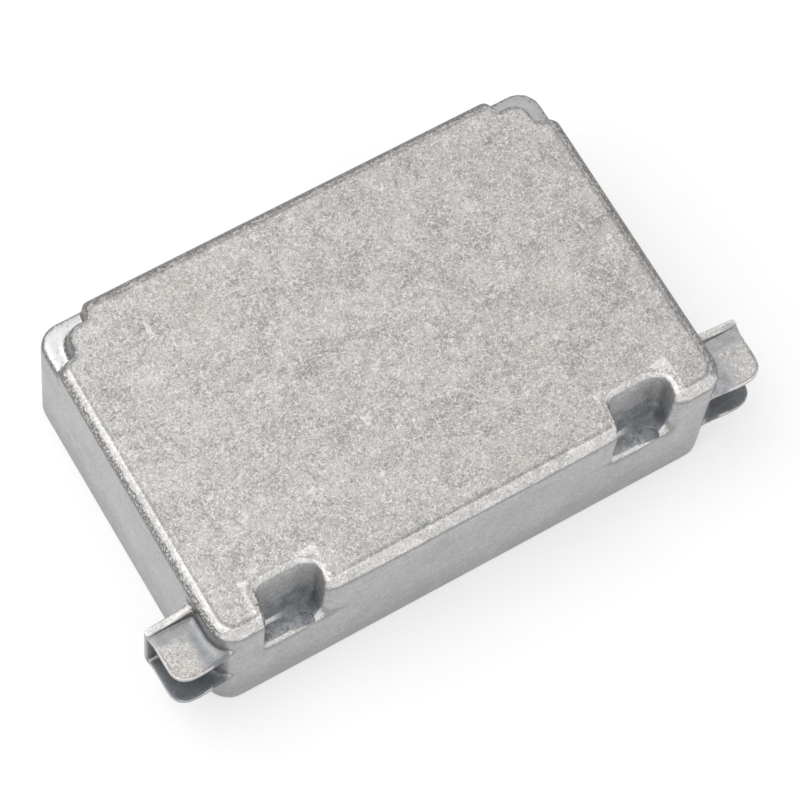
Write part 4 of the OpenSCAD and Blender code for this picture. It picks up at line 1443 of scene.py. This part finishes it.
class InputStage(SubAssembly):
    """Input protection, mains filter and rectifier."""

    finishes = {
        # A fuse's ceramic tube is white and glazed.
        "input_fuse": Finish("glazed_ceramic", Making.DIPPED, "D6D4C9", "EAE8DE", 1.6, 0.16),
        "fuse_clips": TINNED_BRASS,
        # Dipped coatings run and level before they cure: glossy, with a soft orange peel about 1 mm wide.
        "surge_varistor": Finish("dipped_blue_epoxy", Making.DIPPED, "133A86", "2556AA", 1.0, 0.3),
        "inrush_thermistor": Finish("dipped_green_lacquer", Making.DIPPED, "18281B", "2B432F", 1.0, 0.4),
        "filter_choke_core": FERRITE, "filter_choke_windings": COPPER_WIRE,
        # The box of a film capacitor is moulded in yellow plastic.
        "line_capacitors": Finish("moulded_yellow_polyester", Making.MOULDED, "AE9538", "CBB458", 0.3, 0.38),
        "earth_capacitors": Finish("dipped_pale_blue_lacquer", Making.DIPPED, "265593", "4079BA", 1.0, 0.35),
        "bridge_rectifier": BLACK_EPOXY,
    }


class BoostStage(SubAssembly):
    """The stage that draws mains current evenly, with its store of charge."""

    finishes = {"boost_transistor": BLACK_EPOXY, "boost_diode": BLACK_EPOXY, "boost_coil_core": FERRITE,
                "boost_coil_winding": COPPER_WIRE, "bulk_capacitors": DARK_SLEEVE}


class Converter(SubAssembly):
    """The isolating converter round its transformer."""

    finishes = {
        "half_bridge_transistors": BLACK_EPOXY,
        # A dipped film capacitor is a dark glossy red.
        "resonant_capacitor": Finish("dipped_red_epoxy", Making.DIPPED, "74120E", "9A221B", 1.1, 0.28),
        "transformer_core": FERRITE,
        # Bobbins are moulded in black phenolic, a little browner than a package.
        "transformer_bobbin": Finish("moulded_phenolic", Making.MOULDED, "100F0E", "201F1D", 0.3, 0.48),
        "transformer_windings": YELLOW_TAPE, "transformer_pad": GAP_PAD,
    }


class ControlSet(SubAssembly):
    """The control card with its chips, and the small transformer that feeds it."""

    finishes = {
        "standby_transformer": YELLOW_TAPE, "control_card": GREEN_BOARD, "control_chips": BLACK_EPOXY,
        # An optocoupler's package is moulded in white epoxy.
        "optocouplers": Finish("moulded_white_epoxy", Making.MOULDED, "C4C4BE", "DDDDD7", 0.25, 0.45),
    }


class OutputStage(SubAssembly):
    """Rectifier, choke, relay and current sensing on the battery side."""

    finishes = {
        "output_transistors": BLACK_EPOXY, "output_capacitors": DARK_SLEEVE,
        # An iron powder ring is painted, and the paint rounds its edges and shows the grain.
        "output_choke_core": Finish("painted_iron_powder", Making.DIPPED, "677F1E", "8AA434", 0.8, 0.4),
        "output_choke_winding": COPPER_WIRE,
        # A relay's case is moulded in black plastic.
        "output_relay": Finish("moulded_black_polyester", Making.MOULDED, "0C0C0E", "1B1B1E", 0.3, 0.42),
        # A sensing strip is rolled copper alloy, brown and satin.
        "sense_resistor": Finish("rolled_copper_alloy", Making.ROLLED, "70533A", "9A7853", 0.3, 0.34, 1.0),
    }


class HeatPath(SubAssembly):
    """Bars, pads and clips that lead heat from the transistors to the casting."""

    finishes = {
        "input_heat_bar": ROLLED_ALUMINIUM, "middle_heat_bar": ROLLED_ALUMINIUM,
        "output_heat_bar": ROLLED_ALUMINIUM, "heat_bar_pads": GAP_PAD,
        # Spring steel is blued: dark, with the lines of the strip it was cut from.
        "transistor_clips": Finish("blued_spring_steel", Making.ROLLED, "30333A", "555A63", 0.3, 0.35, 1.0),
    }


@dataclass
class Studio:
    """A pale floor, soft light and the camera, in metres and degrees."""

    azimuth: float = -38.7508
    elevation: float = 68.0952
    roll: float = 9.0813
    distance: float = 0.85185
    lens: float = 154.4
    shift_x: float = 0.0363
    shift_y: float = 0.0235
    floor_size: float = 4.0
    floor_colour: str = "E8E8E8"
    floor_glow: float = 0.45
    sky_light: float = 0.55
    # Each lamp's name, place, width and power in watts.
    lamps: tuple = (("overhead_lamp", (-0.4, 0.35, 1.3), 1.0, 4.2), ("left_lamp", (-1.1, -0.2, 0.9), 0.8, 1.5))

    def camera(self) -> None:
        """Places the camera where the photograph was taken from."""
        azimuth, elevation, roll = (math.radians(item) for item in (self.azimuth, self.elevation, self.roll))
        back = Vector((math.sin(azimuth) * math.cos(elevation), -math.cos(azimuth) * math.cos(elevation),
                       math.sin(elevation)))
        right = Vector((math.cos(azimuth), math.sin(azimuth), 0))
        turn = Matrix.Rotation(roll, 3, back)
        data = bpy.data.cameras.new("photo_camera")
        data.lens, data.shift_x, data.shift_y = self.lens, self.shift_x, self.shift_y
        camera = bpy.data.objects.new("photo_camera", data)
        bpy.context.scene.collection.objects.link(camera)
        axes = Matrix((turn @ right, turn @ back.cross(right), back)).transposed()
        camera.matrix_world = Matrix.Translation(back * self.distance) @ axes.to_4x4()
        bpy.context.scene.camera = camera

    def seen_directly(self, shader: Shader) -> Signal:
        """Gives 1 for rays from the camera, from gloss and through glass, and 0 for rays that carry light."""
        path = shader.add("LightPath")
        return shader.any_of(*(path.outputs[f"Is {kind} Ray"] for kind in ("Camera", "Glossy", "Transmission")))

    def floor(self) -> None:
        """Lays the floor, which glows just enough to show white round the object's shadow."""
        mesh = bmesh.new()
        bmesh.ops.create_grid(mesh, x_segments=1, y_segments=1, size=self.floor_size / 2)
        floor = add_object("floor", mesh)
        shader = Shader(bpy.data.materials.new("matt_white_paper"))
        glow = shader.add("Emission", {"Color": linear("FFFFFF"),
                                       "Strength": shader.all_of(self.seen_directly(shader), self.floor_glow)})
        paper = shader.add("BsdfDiffuse", {"Color": linear(self.floor_colour)})
        shader.add("OutputMaterial", {"Surface": shader.add("AddShader", {0: paper, 1: glow})})
        floor.data.materials.append(shader.owner)

    def world(self) -> None:
        """Surrounds the object with soft grey light that shows white to the camera."""
        world = bpy.data.worlds.new("studio")
        shader = Shader(world)
        strength = shader.add("MapRange", {"Value": self.seen_directly(shader), "To Min": self.sky_light})
        sky = shader.add("Background", {"Color": linear("FFFFFF"), "Strength": strength})
        shader.add("OutputWorld", {"Surface": sky})
        bpy.context.scene.world = world

    def build(self) -> None:
        """Sets up the whole studio, with each lamp facing the object."""
        self.floor()
        self.world()
        for name, place, size, power in self.lamps:
            data = bpy.data.lights.new(name, "AREA")
            data.shape, data.size, data.energy = "SQUARE", size, power
            lamp = bpy.data.objects.new(name, data)
            bpy.context.scene.collection.objects.link(lamp)
            lamp.matrix_world = Matrix.Translation(place) @ Vector(place).to_track_quat("Z", "Y").to_matrix().to_4x4()
        self.camera()
        bpy.context.scene.view_settings.view_transform = "Standard"


def main() -> None:
    """Builds the charger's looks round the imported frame."""
    logging.basicConfig(level=logging.INFO, format="%(name)s: %(message)s")
    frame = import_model()
    Studio().build()
    shell, hollow = HousingShell(), HousingHollow()
    for group in (Housing(shell, hollow), Closure(hollow), LeadEntries(shell, hollow), BoardSet(), InputStage(),
                  BoostStage(), Converter(), ControlSet(), OutputStage(), HeatPath()):
        group.dress(frame["nodes"])


if __name__ == "__main__":
    main()
